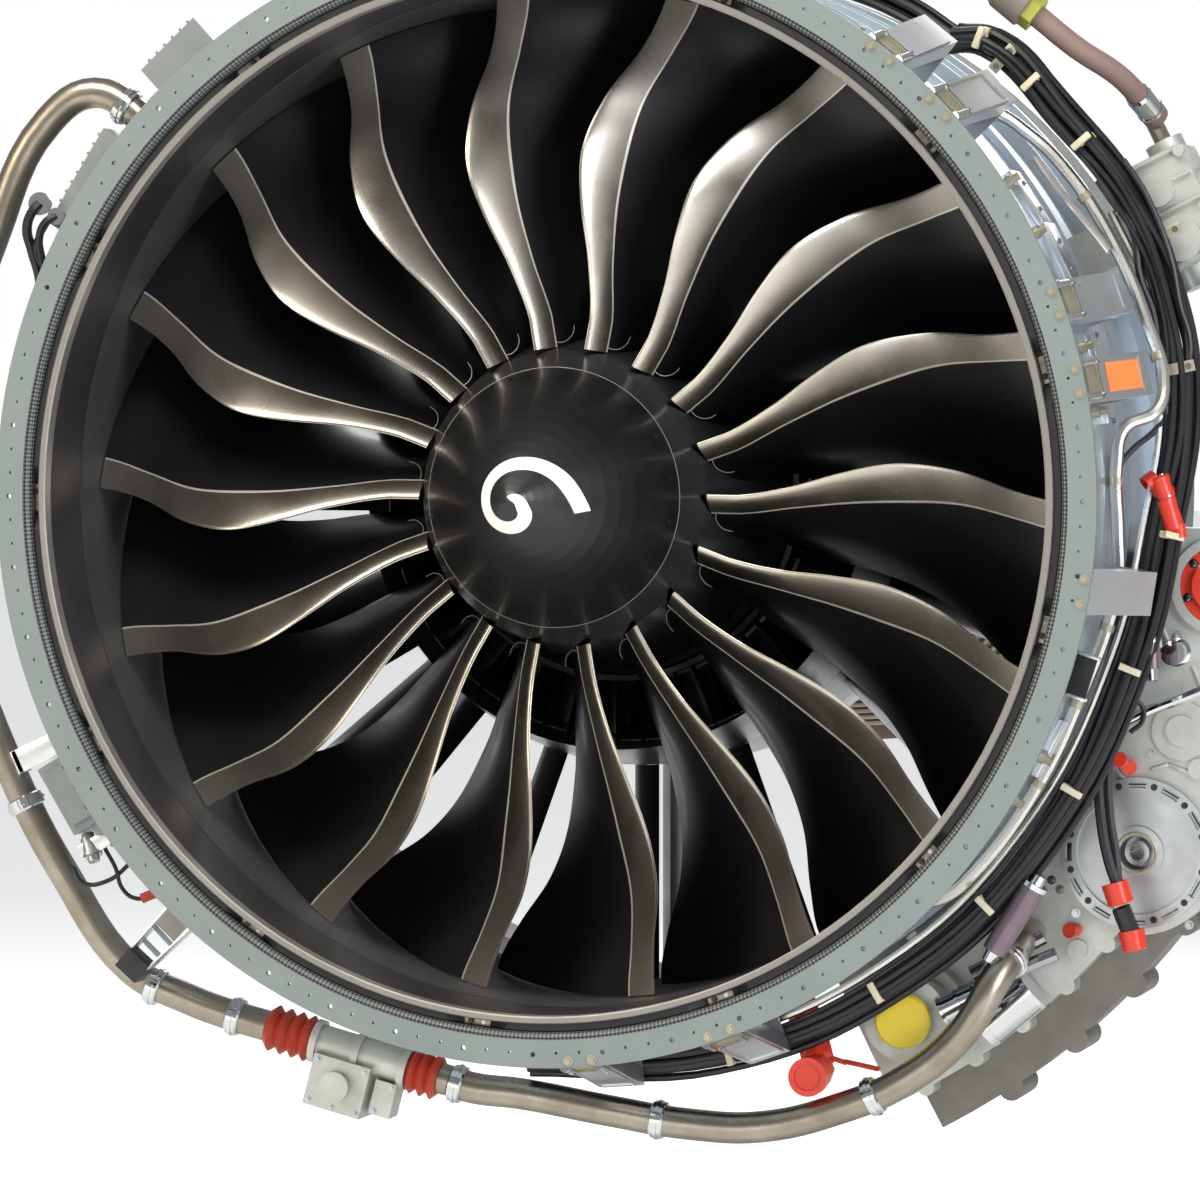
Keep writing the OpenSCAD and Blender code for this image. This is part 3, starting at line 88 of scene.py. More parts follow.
def finish_of(name, base, drift, metal, rough, drift_mm=90, grain_mm=1.2, grain_depth_mm=0.05,
              drift_amount=0.5, coat=0.0):
    material = bpy.data.materials.new(name)
    material.use_nodes = True
    tree, shader = material.node_tree, shader_of(material)
    shader.inputs["Metallic"].default_value = metal
    shader.inputs["Coat Weight"].default_value = coat
    shader.inputs["Coat Roughness"].default_value = COAT_ROUGHNESS
    place = add_node(tree, "TexCoord", output="Object")
    cloud = add_node(tree, "TexNoise", sockets={
        "Vector": place, "Scale": 1 / (drift_mm * MM), "Detail": 4.0, "Roughness": 0.6})
    band = add_node(tree, "MapRange", sockets={
        "Value": cloud, "From Min": 0.35, "From Max": 0.65, "To Max": drift_amount})
    tint = add_node(tree, "Mix", {"data_type": "RGBA"}, {
        "Factor": band, "A": linear(base), "B": linear(drift)}, "Result")
    tree.links.new(tint, shader.inputs["Base Color"])
    gloss = add_node(tree, "MapRange", sockets={
        "Value": cloud, "From Min": 0.3, "From Max": 0.7,
        "To Min": rough[0], "To Max": rough[1]})
    tree.links.new(gloss, shader.inputs["Roughness"])
    grain = add_node(tree, "TexNoise", sockets={
        "Vector": place, "Scale": 1 / (grain_mm * MM), "Detail": 2.0})
    relief = add_node(tree, "Bump", sockets={
        "Height": grain, "Strength": 1.0, "Distance": grain_depth_mm * MM})
    tree.links.new(relief, shader.inputs["Normal"])
    return material


print("coat roughness", COAT_ROUGHNESS)

# %% [markdown]
# Metals first. Alloy castings look pale and slightly gritty; machined faces are
# smoother and brighter; titanium is a darker, warmer grey; the hot end takes on
# straw and brown tints. Their specular level stays at the default. A row holds the
# key, the material, its two colours, metallic and roughness, and then, as far as they
# differ from the usual, the width of the drift, the grain, its depth, the share of
# the second colour and the clear coat.

# %% Metal finishes
METALS = [
    ("flange_paint", "primed_alloy_flange", "#76807D", "#6B7573", 0.1, (0.42, 0.55), 160, 0.9, 0.02),
    ("bare_aluminium", "machined_aluminium", "#B9BCBC", "#A3A6A6", 1.0, (0.30, 0.42), 90, 0.8, 0.02),
    ("cast_aluminium", "sand_cast_aluminium", "#C6C8C1", "#AFB1AA", 0.75, (0.42, 0.60), 70, 1.6, 0.12),
    ("dark_steel", "blackened_steel", "#3B3C3E", "#54514C", 0.9, (0.30, 0.45)),
    ("bare_titanium", "milled_titanium", "#8E8C88", "#7C7A77", 1.0, (0.32, 0.46), 90, 0.8, 0.02),
    ("bearing_steel", "ground_steel", "#A9ABAE", "#97999C", 1.0, (0.18, 0.28), 90, 1.2, 0.01),
    ("tube_steel", "heat_tinted_duct_steel", "#A8A194", "#857B6B", 1.0, (0.24, 0.40), 120, 1.0, 0.03, 0.7),
    ("bright_tube", "bright_stainless_tube", "#D9D7D1", "#C5C2B8", 1.0, (0.24, 0.34), 120, 1.2, 0.003),
    # pale bands for the guard edges: a painted highlight
    ("edge_glint", "polished_guard_edge", "#EAE4D3", "#DED7C4", 0.7, (0.28, 0.38), 90, 1.2, 0.005),
    ("polished_steel", "polished_steel", "#D3D5D6", "#C4C6C8", 1.0, (0.06, 0.12), 90, 1.2, 0.005),
    ("nickel_alloy", "heat_tinted_nickel", "#8B8074", "#6E5D4B", 1.0, (0.32, 0.48), 140, 1.2, 0.05, 0.8),
    ("guard_titanium", "brushed_titanium_guard", "#C4BDB1", "#948C80", 1.0, (0.20, 0.34),
     260, 2.5, 0.001, 0.6),
    ("satin_ring", "satin_machined_ring", "#8C8983", "#7A7771", 0.6, (0.42, 0.55), 300, 0.8, 0.02),
    # a darker grey casting, used for the rear gearbox housing
    ("aged_casting", "aged_dark_casting", "#77746D", "#66635D", 0.6, (0.45, 0.60), 90, 1.6, 0.1),
    ("bracket_plate", "clear_anodised_plate", "#DADDE0", "#C6CACE", 1.0, (0.26, 0.38), 120, 1.2, 0.003),
]
finishes = {key: finish_of(*row) for key, *row in METALS}
print(len(finishes), "metal finishes")

# %% [markdown]
# Then paints, rubbers and composites. The fan blades are carbon fibre under a dark
# gloss coat, the case is a woven tube under satin paint, the rub strip behind the
# blade tips is soft and matt, and caps are bright moulded plastic.

# %% Paint, rubber and composite finishes
SOFT_FINISHES = [
    ("case_composite", "painted_braid_case", "#5B6063", "#6C7073", 0.1, (0.38, 0.52), 200),
    ("panel_liner", "sound_lining", "#1C1B1D", "#29282A", 0.0, (0.55, 0.70), 300),
    ("rub_strip", "rub_strip_filler", "#2C2C2E", "#383738", 0.0, (0.60, 0.75), 200),
    ("blade_composite", "coated_carbon_blade", "#0E0E10", "#141416", 0.0, (0.26, 0.34),
     300, 2.0, 0.01, 0.5, 0.25),
    ("platform_grey", "platform_coating", "#38383A", "#4A4A4C", 0.6, (0.16, 0.28)),
    ("spinner_black", "spinner_lacquer", "#0C0C0E", "#111113", 0.0, (0.34, 0.42),
     90, 1.2, 0.008, 0.5, 0.2),
    ("red_cover", "red_moulded_cap", "#D3371F", "#BF2F1A", 0.0, (0.28, 0.38), 90, 1.2, 0.02),
    ("red_bellows", "red_silicone_rubber", "#B23A22", "#9C301C", 0.0, (0.38, 0.50)),
    ("yellow_cap", "yellow_moulded_cap", "#D9C021", "#C6AD19", 0.0, (0.30, 0.40)),
    ("black_cap", "black_nylon", "#1A1A1C", "#242426", 0.0, (0.45, 0.55)),
    ("grey_paint", "grey_enamel", "#7E8484", "#8A9090", 0.1, (0.35, 0.46)),
    ("cable_sheath", "black_cable_sleeve", "#131316", "#202024", 0.0, (0.36, 0.50), 90, 1.5),
    ("hose_braid", "brown_braided_hose", "#7F6860", "#6A544B", 0.0, (0.60, 0.75), 90, 2.0, 0.25),
]
finishes.update({key: finish_of(*row) for key, *row in SOFT_FINISHES})
slot_of = {part["node"]: part["material_slot"] for part in frame["record"]["subparts"]}


def dress(piece, finish):
    piece.data.materials.clear()
    piece.data.materials.append(finish)


special = {"intake_lip_ring": "satin_ring", "gearbox_rear_housing": "aged_casting"}
for name, node in frame["nodes"].items():
    dress(node, finishes[special.get(name, slot_of[name])])
print(len(frame["nodes"]), "CAD parts dressed")

# %% [markdown]
# The camera stands eleven metres in front, three metres to the right of the axis and
# just above it, with a long lens, so the fan face shows almost flat and the right
# flank of the case comes into view. The frame is taken as 1200 by 1203 dots.

# %% Camera
CAMERA_PLACE, TILTED_DOWN, TURNED_LEFT = (3.04958, -10.77471, 0.21789), 2.1154, 15.1434
SENSOR_MM, FRAME_DOTS, FOCAL_DOTS = 36, 1203, 5874.86
bpy.ops.object.camera_add(location=CAMERA_PLACE,
                          rotation=(math.radians(90 - TILTED_DOWN), 0, math.radians(TURNED_LEFT)))
camera = bpy.context.object
camera.data.sensor_fit = "VERTICAL"
camera.data.sensor_height = SENSOR_MM
camera.data.lens = SENSOR_MM * FOCAL_DOTS / FRAME_DOTS
camera.data.clip_end = 200
bpy.context.scene.camera = camera
print("lens", round(camera.data.lens, 1), "mm")

# %% [markdown]
# Plain pale floor and a white surround. The world is white to the camera and through
# clear parts, and a softer level to everything else, so the background does not
# overexpose the engine. Five area lamps give soft light: a wide one above,
# a warm one on the left, a cool one on the right and weaker ones below and behind.

# %% Floor, world and lamps
FLOOR_Z, FLOOR_GLOW, SKY_ON_ENGINE = -1.75, 0.45, 0.36
bpy.ops.object.select_all(action="DESELECT")
bpy.ops.mesh.primitive_plane_add(size=120, location=(0, 20, FLOOR_Z))
floor = bpy.context.object
floor.name = "studio_floor"
floor_finish = finish_of("pale_floor_paint", "#F4F6F7", "#EFF1F2", 0.0, (0.35, 0.45), drift_mm=4000,
                         grain_mm=30, grain_depth_mm=0.02)
floor_tree, floor_shader = floor_finish.node_tree, shader_of(floor_finish)
to_camera = add_node(floor_tree, "LightPath", output="Is Camera Ray")
lift = add_node(floor_tree, "Math", {"operation": "MULTIPLY"}, {0: to_camera, 1: FLOOR_GLOW})
floor_shader.inputs["Emission Color"].default_value = linear("#F4F6F7")
floor_tree.links.new(lift, floor_shader.inputs["Emission Strength"])
dress(floor, floor_finish)

world = bpy.data.worlds.new("studio")
bpy.context.scene.world = world
world.use_nodes = True
sky = world.node_tree
background = sky.nodes["Background"]
rays = add_node(sky, "LightPath").node.outputs
seen = add_node(sky, "Math", {"operation": "MAXIMUM"}, {
    0: rays["Is Camera Ray"], 1: rays["Is Transmission Ray"]})
level = add_node(sky, "MapRange", sockets={
    "Value": seen, "To Min": SKY_ON_ENGINE, "To Max": 1.0})
background.inputs["Color"].default_value = (1, 1, 1, 1)
sky.links.new(level, background.inputs["Strength"])


def softbox(name, place, aim, size, power, tint="#FFFFFF"):
    bpy.ops.object.light_add(type="AREA", location=place)
    lamp = bpy.context.object
    lamp.name = name
    lamp.data.shape = "RECTANGLE"
    lamp.data.size, lamp.data.size_y = size
    lamp.data.energy = power
    lamp.data.color = linear(tint)[:3]
    lamp.rotation_euler = (Vector(aim) - Vector(place)).to_track_quat("-Z", "Y").to_euler()


softbox("ceiling_bank", (-1.0, -3.5, 5.5), (0, 0.2, 0), (7.0, 3.0), 560, "#FFFAF0")
softbox("left_window", (-6.5, -5.0, 2.0), (0, 0.2, 0), (3.0, 4.5), 230, "#FFEFD6")
softbox("right_fill", (6.5, -4.5, 1.5), (0.8, 0.3, -0.2), (2.5, 4.5), 430, "#F3F6FF")
softbox("floor_bounce", (0.0, -4.0, -1.6), (0, 0, 0.2), (6.0, 2.0), 50)
softbox("behind", (0.0, 7.5, 3.5), (0, 2.0, 0), (5.0, 3.0), 260)
bpy.context.scene.view_settings.view_transform = "Standard"
print("floor at", FLOOR_Z)

# %% [markdown]
# Helpers for new pieces. A piece starts as a primitive from the Add menu. It is
# named, given its finish, tied to the body that carries it, and its place is
# applied so that its object sits at the origin, as the CAD parts do. What repeats
# is modelled once and copied, each copy with a mesh of its own.

# %% Adding, placing and copying pieces
def pick(*pieces):
    bpy.ops.object.select_all(action="DESELECT")
    for piece in pieces:
        piece.select_set(True)
    bpy.context.view_layer.objects.active = pieces[0]


def start_piece(add, **values):
    bpy.ops.object.select_all(action="DESELECT")
    add(**values)
    return bpy.context.object


def joined(pieces):
    pick(*pieces)
    bpy.ops.object.join()
    return pieces[0]


def keep_piece(pieces, name, finish, smooth_deg=35, body="static_structure"):
    piece = joined(pieces) if isinstance(pieces, list) else pieces
    pick(piece)
    bpy.ops.object.transform_apply(location=True, rotation=True, scale=True)
    if smooth_deg:
        bpy.ops.object.shade_smooth_by_angle(angle=math.radians(smooth_deg))
    piece.name = piece.data.name = name
    dress(piece, finishes[finish])
    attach(piece, body)
    return piece


def copies_at(piece, places):
    made = [piece]
    for place in places[1:]:
        twin = piece.copy()
        twin.data = piece.data.copy()
        bpy.context.collection.objects.link(twin)
        twin.data.transform(place)
        made.append(twin)
    piece.data.transform(places[0])
    return joined(made)


def edit_all(piece):
    pick(piece)
    bpy.ops.object.mode_set(mode="EDIT")
    bpy.ops.mesh.select_all(action="SELECT")


def leave_edit():
    bpy.ops.object.mode_set(mode="OBJECT")


# %% [markdown]
# Round parts are laid out as on a clock face seen from the front: so many degrees
# from the right-hand side, so far from the engine axis, and so far aft of the inlet
# flange. Other pieces are built upright at the origin and then aimed along a line.

# %% Places on the engine's clock
FRONT = Vector((0, -1, 0))


def clock(degrees):
    return Matrix.Rotation(-math.radians(degrees), 4, "Y")


def on_clock(radius, degrees, depth):
    angle = math.radians(degrees)
    return Vector((radius * math.cos(angle), depth, radius * math.sin(angle)))


def outward(degrees):
    return on_clock(1, degrees, 0)


def aimed(place, direction):
    turn = Vector(direction).to_track_quat("Z", "Y").to_matrix().to_4x4()
    return Matrix.Translation(Vector(place) * MM) @ turn


print("top of the clock", tuple(round(v, 3) for v in outward(90)))

# %% [markdown]
# A wide-chord fan blade is one twisted, leaning sheet of carbon fibre. Its nose
# sweeps forward at mid span and back again towards the tip, which gives the
# S-shaped edge seen from the front. The sections below are the CAD model's own, at
# seven heights; here they are read at many more heights, so the skin is smooth.

# %% Blade sections
FOOT_R, TIP_R, SECTION_STEPS = 350, 987, 6
NOSE_ANGLE = (1.3, 3.2, 5.5, 6.4, 4.7, 1.5, 0)
NOSE_DEPTH = (210, 188, 167, 172, 224, 286, 313)
CHORD = (300, 330, 360, 395, 425, 450, 475)
INLET_ANGLE = (34, 40, 44, 48, 54, 60, 66)
OUTLET_ANGLE = (-2, 10, 20, 29, 36, 43, 48)
THICKNESS = (26, 21, 17, 14.5, 12.5, 11, 9.5)
GUARD_WIDTH = (50, 54, 78, 97, 80, 60, 64)
BLADES, FAN_CLOCK = 18, 119.3
THICKEST, TAIL_THINNING = 0.4, 0.85


def smooth_curve(values, place):
    i = math.floor(place)
    t = place - i
    a, b, c, d = (values[max(0, min(len(values) - 1, i + k))] for k in (-1, 0, 1, 2))
    return b + 0.5 * t * (c - a + t * (2 * a - 5 * b + 4 * c - d + t * (3 * (b - c) + d - a)))


def section_at(radius):
    return max(0.0, (radius - FOOT_R) / (TIP_R - FOOT_R) * SECTION_STEPS)


def foil_point(radius, share, side, proud):
    place = section_at(radius)
    laws = (NOSE_ANGLE, NOSE_DEPTH, CHORD, INLET_ANGLE, OUTLET_ANGLE, THICKNESS)
    nose, depth, chord, inlet, outlet, thick = (smooth_curve(law, place) for law in laws)
    if share < THICKEST:
        full = math.sqrt(1 - ((THICKEST - share) / THICKEST) ** 2)
    else:
        full = 1 - TAIL_THINNING * ((share - THICKEST) / (1 - THICKEST)) ** 2
    half = thick / 2 * full + proud
    start, here = math.radians(inlet), math.radians(inlet + (outlet - inlet) * share)
    turn = math.radians(outlet - inlet)
    across = chord * (math.cos(start) - math.cos(here)) / turn + side * half * math.cos(here)
    aft = depth + chord * (math.sin(here) - math.sin(start)) / turn - side * half * math.sin(here)
    if radius <= FOOT_R:
        return Vector((radius, aft, FOOT_R * math.sin(math.radians(nose)) - across)) * MM
    angle = across / radius - math.radians(nose)
    return Vector((radius * math.cos(angle), aft, -radius * math.sin(angle))) * MM


print("nose at mid span", [round(v, 3) for v in foil_point(668, 0, 1, 0)])

# %% [markdown]
# A flat grid is wrapped into the blade: its columns run round the section, from
# the nose over the hollow side to the tail and back, and its rows run up the span.
# The last column meets the first, so doubles are merged and the two ends filled.

# %% Wrapping a grid
def wrapped(columns, radii, place_of):
    piece = start_piece(bpy.ops.mesh.primitive_grid_add, x_subdivisions=len(columns) - 1,
                        y_subdivisions=len(radii) - 1, size=2)
    for vertex in piece.data.vertices:
        column = round((vertex.co.x + 1) / 2 * (len(columns) - 1))
        row = round((vertex.co.y + 1) / 2 * (len(radii) - 1))
        vertex.co = place_of(radii[row], *columns[column])
    edit_all(piece)
    bpy.ops.mesh.remove_doubles(threshold=0.00002)
    bpy.ops.mesh.select_all(action="DESELECT")
    bpy.ops.mesh.select_mode(type="EDGE")
    bpy.ops.mesh.select_non_manifold(extend=False, use_wire=False, use_multi_face=False,
                                     use_non_contiguous=False, use_verts=False)
    bpy.ops.mesh.edge_face_add()
    bpy.ops.mesh.select_mode(type="VERT")
    bpy.ops.mesh.select_all(action="SELECT")
    bpy.ops.mesh.normals_make_consistent(inside=False)
    leave_edit()
    return piece


ROUND_STEPS, SPAN_STEPS, FOOT_ROWS = 16, 42, [290, 320]
shares = [(1 - math.cos(math.pi * k / ROUND_STEPS)) / 2 for k in range(ROUND_STEPS + 1)]
span = FOOT_ROWS + [FOOT_R + (TIP_R - FOOT_R) * k / SPAN_STEPS for k in range(SPAN_STEPS + 1)]
skin = wrapped([(s, 1) for s in shares] + [(s, -1) for s in reversed(shares)], span,
               lambda radius, share, side: foil_point(radius, share, side, 0))
places = [clock(FAN_CLOCK + 360 * k / BLADES) for k in range(BLADES)]
skin = keep_piece(copies_at(skin, places), "fan_blade_skins", "blade_composite", smooth_deg=50,
                  body="low_pressure_spool")
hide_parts("fan_blades")
print("blade skins", len(skin.data.polygons), "faces")

# %% [markdown]
# Each nose carries a thin titanium guard, bonded on. It is broad at mid span, where
# the blade meets birds and grit hardest, and narrows to the foot. It stands under a
# millimetre proud. Its rear edge and its very nose are polished and catch the light
# as a bright line, so each gets a narrow pale band: a painted highlight.

# %% Nose guards
PROUD, SUNK, EDGE_PROUD, EDGE_SUNK = 0.9, -0.5, 1.15, 0.2
NOSE_STEPS, NOSE_CROWDING = 9, 1.6
EDGE_BANDS = (((0.94, 1), (1.0, 1)), ((0.0, -1), (0.035, 1)))


def guard_point(radius, share, side, proud):
    place = section_at(radius)
    width = smooth_curve(GUARD_WIDTH, place) / smooth_curve(CHORD, place)
    return foil_point(radius, share * width, side, proud)


nose = [(k / NOSE_STEPS) ** NOSE_CROWDING for k in range(NOSE_STEPS, -1, -1)]
outer = [(s, 1, PROUD) for s in nose] + [(s, -1, PROUD) for s in reversed(nose[:-1])]
inner = [(s, -1, SUNK) for s in nose[:-1:3]] + [(s, 1, SUNK) for s in reversed(nose[:-1:3])]
guard = wrapped(outer + inner + outer[:1], span, guard_point)
guard = keep_piece(copies_at(guard, places), "nose_guards", "guard_titanium", smooth_deg=40,
                   body="low_pressure_spool")
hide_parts("leading_edge_guards")
# Narrow pale bands along each guard's rear edge and nose, a painted highlight for the bright line they
# catch.
edges = []
for start, end in EDGE_BANDS:
    corners = [(start, EDGE_PROUD), (end, EDGE_PROUD), (end, EDGE_SUNK), (start, EDGE_SUNK)]
    ring = [(*at, proud) for at, proud in corners + corners[:1]]
    edges.append(wrapped(ring, span, guard_point))
edges = keep_piece(copies_at(joined(edges), places), "guard_painted_edge_highlights", "edge_glint",
                   40, "low_pressure_spool")
print("guards", len(guard.data.polygons), "faces, edges", len(edges.data.polygons))

# %% [markdown]
# The spinner is a lacquered cone. The white spiral painted on such cones lets
# ground crew see from afar that the fan turns. It starts at the tip and widens its
# circle for just over one turn, with a stroke of even width. It is laid on the
# cone as a thin skin of paint.

# %% Spinner spiral
SPINNER_R, SPINNER_LEN, SPINNER_BASE = 251, 318, 150
TIP_ROUNDNESS, CONE_SLOPE, CONE_FLATTENING = 0.18, 1.17, 0.35
SPIRAL_ROWS, STROKE_SHARE, PAINT_LIFT, STEP_AHEAD = 90, 0.70, 0.25, 0.05
SPIRAL_TURN = (60, -22, -45, -70, -100, -137, -181, -215, -251, -283, -314, -339, -357, -372)
SPIRAL_R = (3, 24, 36, 46, 53, 57, 57, 60, 65, 71, 82, 94, 105, 118)
SPIRAL_HALF_WIDTH = (9, 15, 17, 17, 17, 17, 17, 17, 17, 17, 17, 18, 18, 18)


def cone_depth(radius):
    low, high = 0.0, 1.0
    for _ in range(40):
        t = (low + high) / 2
        if SPINNER_R * (TIP_ROUNDNESS * math.sqrt(t) + CONE_SLOPE * t - CONE_FLATTENING * t * t) < radius:
            low = t
        else:
            high = t
    return SPINNER_BASE - SPINNER_LEN + SPINNER_LEN * low


def spiral_middle(place):
    radius, turn = smooth_curve(SPIRAL_R, place), math.radians(smooth_curve(SPIRAL_TURN, place))
    return Vector((radius * math.cos(turn), radius * math.sin(turn)))


def spiral_point(place, across):
    middle = spiral_middle(place)
    ahead = (spiral_middle(place + STEP_AHEAD) - middle).normalized()
    half = smooth_curve(SPIRAL_HALF_WIDTH, place) * STROKE_SHARE * across
    x, z = middle.x - ahead.y * half, middle.y + ahead.x * half
    return Vector((x, cone_depth(math.hypot(x, z)) - PAINT_LIFT, z)) * MM


rows = [0.001 + k * (len(SPIRAL_R) - 1.06) / SPIRAL_ROWS for k in range(SPIRAL_ROWS + 1)]
spiral = start_piece(bpy.ops.mesh.primitive_grid_add, x_subdivisions=6, y_subdivisions=SPIRAL_ROWS,
                     size=2)
for vertex in spiral.data.vertices:
    vertex.co = spiral_point(rows[round((vertex.co.y + 1) / 2 * SPIRAL_ROWS)], vertex.co.x)
edit_all(spiral)
bpy.ops.mesh.normals_make_consistent(inside=False)
leave_edit()
finishes["spiral_paint"] = finish_of("white_spiral_paint", "#F2F0E8", "#EAE8DF", 0.0, (0.40, 0.50),
                                      grain_depth_mm=0.01)
keep_piece(spiral, "spinner_spiral", "spiral_paint", 60, "low_pressure_spool")
print("spiral", len(spiral.data.polygons), "faces")

# %% [markdown]
# The case needs two looks on one part. Its rounded front edge shows the woven
# tube it is made of: dark strands crossing at 45 degrees, about eight millimetres
# wide. Its outer skin is smooth, bluish and silvery. The distance from the engine
# axis tells the two apart, and the angle round the axis carries the weave.

# %% Woven case edge and silvery skin
def radius_and_arc(tree, radius_m):
    place = add_node(tree, "TexCoord", output="Object")
    parts = add_node(tree, "SeparateXYZ", sockets={"Vector": place}).node.outputs
    square = [add_node(tree, "Math", {"operation": "MULTIPLY"}, {0: parts[k], 1: parts[k]})
              for k in ("X", "Z")]
    total = add_node(tree, "Math", {"operation": "ADD"}, {0: square[0], 1: square[1]})
    radius = add_node(tree, "Math", {"operation": "SQRT"}, {0: total})
    angle = add_node(tree, "Math", {"operation": "ARCTAN2"}, {0: parts["Z"], 1: parts["X"]})
    arc = add_node(tree, "Math", {"operation": "MULTIPLY"}, {0: angle, 1: radius_m})
    return radius, arc, parts["Y"]


STRAND_MM, WEAVE_R_M, EDGE_R_M = 8, 1.03, 1.0355
case = finish_of("woven_case", "#BCC6CE", "#A5B1BB", 0.85, (0.30, 0.42), drift_mm=240, grain_mm=3,
                 grain_depth_mm=0.02)
tree = case.node_tree
radius, arc, depth = radius_and_arc(tree, WEAVE_R_M)
rise = add_node(tree, "Math", {"operation": "SUBTRACT"}, {0: depth, 1: radius})
waves = []
for kind in ("ADD", "SUBTRACT"):
    diagonal = add_node(tree, "Math", {"operation": kind}, {0: arc, 1: rise})
    phase = add_node(tree, "Math", {"operation": "MULTIPLY"},
                     {0: diagonal, 1: math.pi / (STRAND_MM * MM)})
    waves.append(add_node(tree, "Math", {"operation": "SINE"}, {0: phase}))
crossing = add_node(tree, "Math", {"operation": "MULTIPLY"}, {0: waves[0], 1: waves[1]})
strand = add_node(tree, "MapRange", sockets={
    "Value": crossing, "From Min": -0.1, "From Max": 0.5})
braid = add_node(tree, "Mix", {"data_type": "RGBA"}, {
    "Factor": strand, "A": linear("#222426"), "B": linear("#6E7270")}, "Result")
edge = add_node(tree, "Math", {"operation": "LESS_THAN"}, {0: radius, 1: EDGE_R_M})
shader = shader_of(case)
skin_colour = shader.inputs["Base Color"].links[0].from_socket
both = add_node(tree, "Mix", {"data_type": "RGBA"}, {
    "Factor": edge, "A": skin_colour, "B": braid}, "Result")
tree.links.new(both, shader.inputs["Base Color"])
metal = add_node(tree, "MapRange", sockets={
    "Value": edge, "To Min": 0.85, "To Max": 0.1})
tree.links.new(metal, shader.inputs["Metallic"])
dress(frame["nodes"]["fan_case"], case)
finishes["woven_case"] = case
print("strand", STRAND_MM, "mm")

# %% [markdown]
# Pipes and cables follow routes given in millimetres. A Bezier curve with
# automatic handles runs through the points, a round bevel gives it thickness, and
# converting it to a mesh fixes the shape. The routes match the CAD model's plain
# tubes, which these smooth ones replace.

# %% Pipes and cables by route
def tube(points, radius, sides=16, steps=6):
    curve = start_piece(bpy.ops.curve.primitive_bezier_curve_add)
    knots = curve.data.splines[0].bezier_points
    knots.add(len(points) - 2)
    for knot, place in zip(knots, points):
        knot.co = Vector(place) * MM
        knot.handle_left_type = knot.handle_right_type = "AUTO"
    curve.data.bevel_depth = radius * MM
    curve.data.bevel_resolution = sides // 4 - 1
    curve.data.resolution_u = steps
    curve.data.use_fill_caps = True
    bpy.ops.object.convert(target="MESH")
    return bpy.context.object


SKIN_R = 1042


def route_of(stations, out=0.0, aft=0.0):
    return [on_clock(SKIN_R + o + out, a, y + aft) for o, y, a in stations]


LOOM = [(90, 532, 52), (148, 482, 48), (152, 462, 38), (170, 452, 28), (174, 447, 19), (148, 442, 9),
        (106, 412, -3), (94, 374, -16), (90, 357, -36), (90, 347, -56), (88, 337, -76), (70, 332, -95)]
STRANDS = [(-13, -14, 11), (13, -13, 10), (-13, 13, 9), (13, 14, 11), (0, 0, 7), (-26, 0, 6), (0, 26, 6),
           (27, 2, 7), (2, -27, 7), (-24, -20, 5), (24, 24, 5)]
WANDER, SEED = 7, 4
rng = random.Random(SEED)
cables = []
for out, aft, radius in STRANDS:
    wander = [(o + rng.uniform(-WANDER, WANDER), y + rng.uniform(-WANDER, WANDER), a) for o, y, a in LOOM]
    cables.append(tube(route_of(wander, out, aft), radius, 12, 8))
cables = keep_piece(cables, "loom_cables", "cable_sheath")
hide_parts("wiring_loom")

DRAIN = route_of([
    (-3, 430, 45), (51, 430, 43), (81, 430, 38.6), (98, 430, 33.6), (111, 420, 25), (121, 400, 17),
    (128, 380, 10.6), (107, 360, 8.3), (48, 340, 7.1), (28, 330, 3.7), (30, 330, -3.2), (40, 330, -8),
    (38, 335, -12), (27, 335, -19.7), (28, 335, -30.9), (30, 335, -42.6), (22, 335, -46.6),
    (-14, 335, -49.6)])
drain = keep_piece(tube(DRAIN, 13), "steel_drain_tube", "bright_tube")
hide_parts("drain_tubes")

CONTROL_ANGLE, CONTROL_Y = 26, 515


def by_control(x, y, z):
    turn = math.radians(CONTROL_ANGLE)
    return Vector(((SKIN_R + x) * math.cos(turn) - z * math.sin(turn), CONTROL_Y + y,
                   (SKIN_R + x) * math.sin(turn) + z * math.cos(turn)))


HOSE = route_of([(-8, 430, 66), (75, 430, 66.1), (170, 430, 64.1), (223, 430, 59.1), (236, 435, 53),
                 (244, 440, 46.8), (256, 450, 42), (279, 500, 38.1), (280, 575, 35.1)])
HOSE += [by_control(258, 90, 190), by_control(258, 90, 135.2)]
hose = keep_piece(tube(HOSE[:9], 22, 32), "braided_hose", "hose_braid")
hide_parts("supply_hose")
print(len(cables.data.polygons), len(drain.data.polygons), len(hose.data.polygons), "faces")

# %% [markdown]
# The starter's air duct is a thin steel pipe that follows the case round its left
# side and bottom. Rubber bellows take up its movement on both sides of the valve.
# Rolled collars show where its lengths are clamped together.

# %% Air duct and bellows
DUCT_Y, DUCT_R = 330, 31
VALVE_LEAN, BELLOWS_OUT, BELLOWS_ANGLE = -14.5, 198, -121.1


def valve_line(distance, height=0):
    start = on_clock(SKIN_R + BELLOWS_OUT, BELLOWS_ANGLE, DUCT_Y)
    return start + on_clock(distance, VALVE_LEAN, 0) + on_clock(height, VALVE_LEAN + 90, 0)


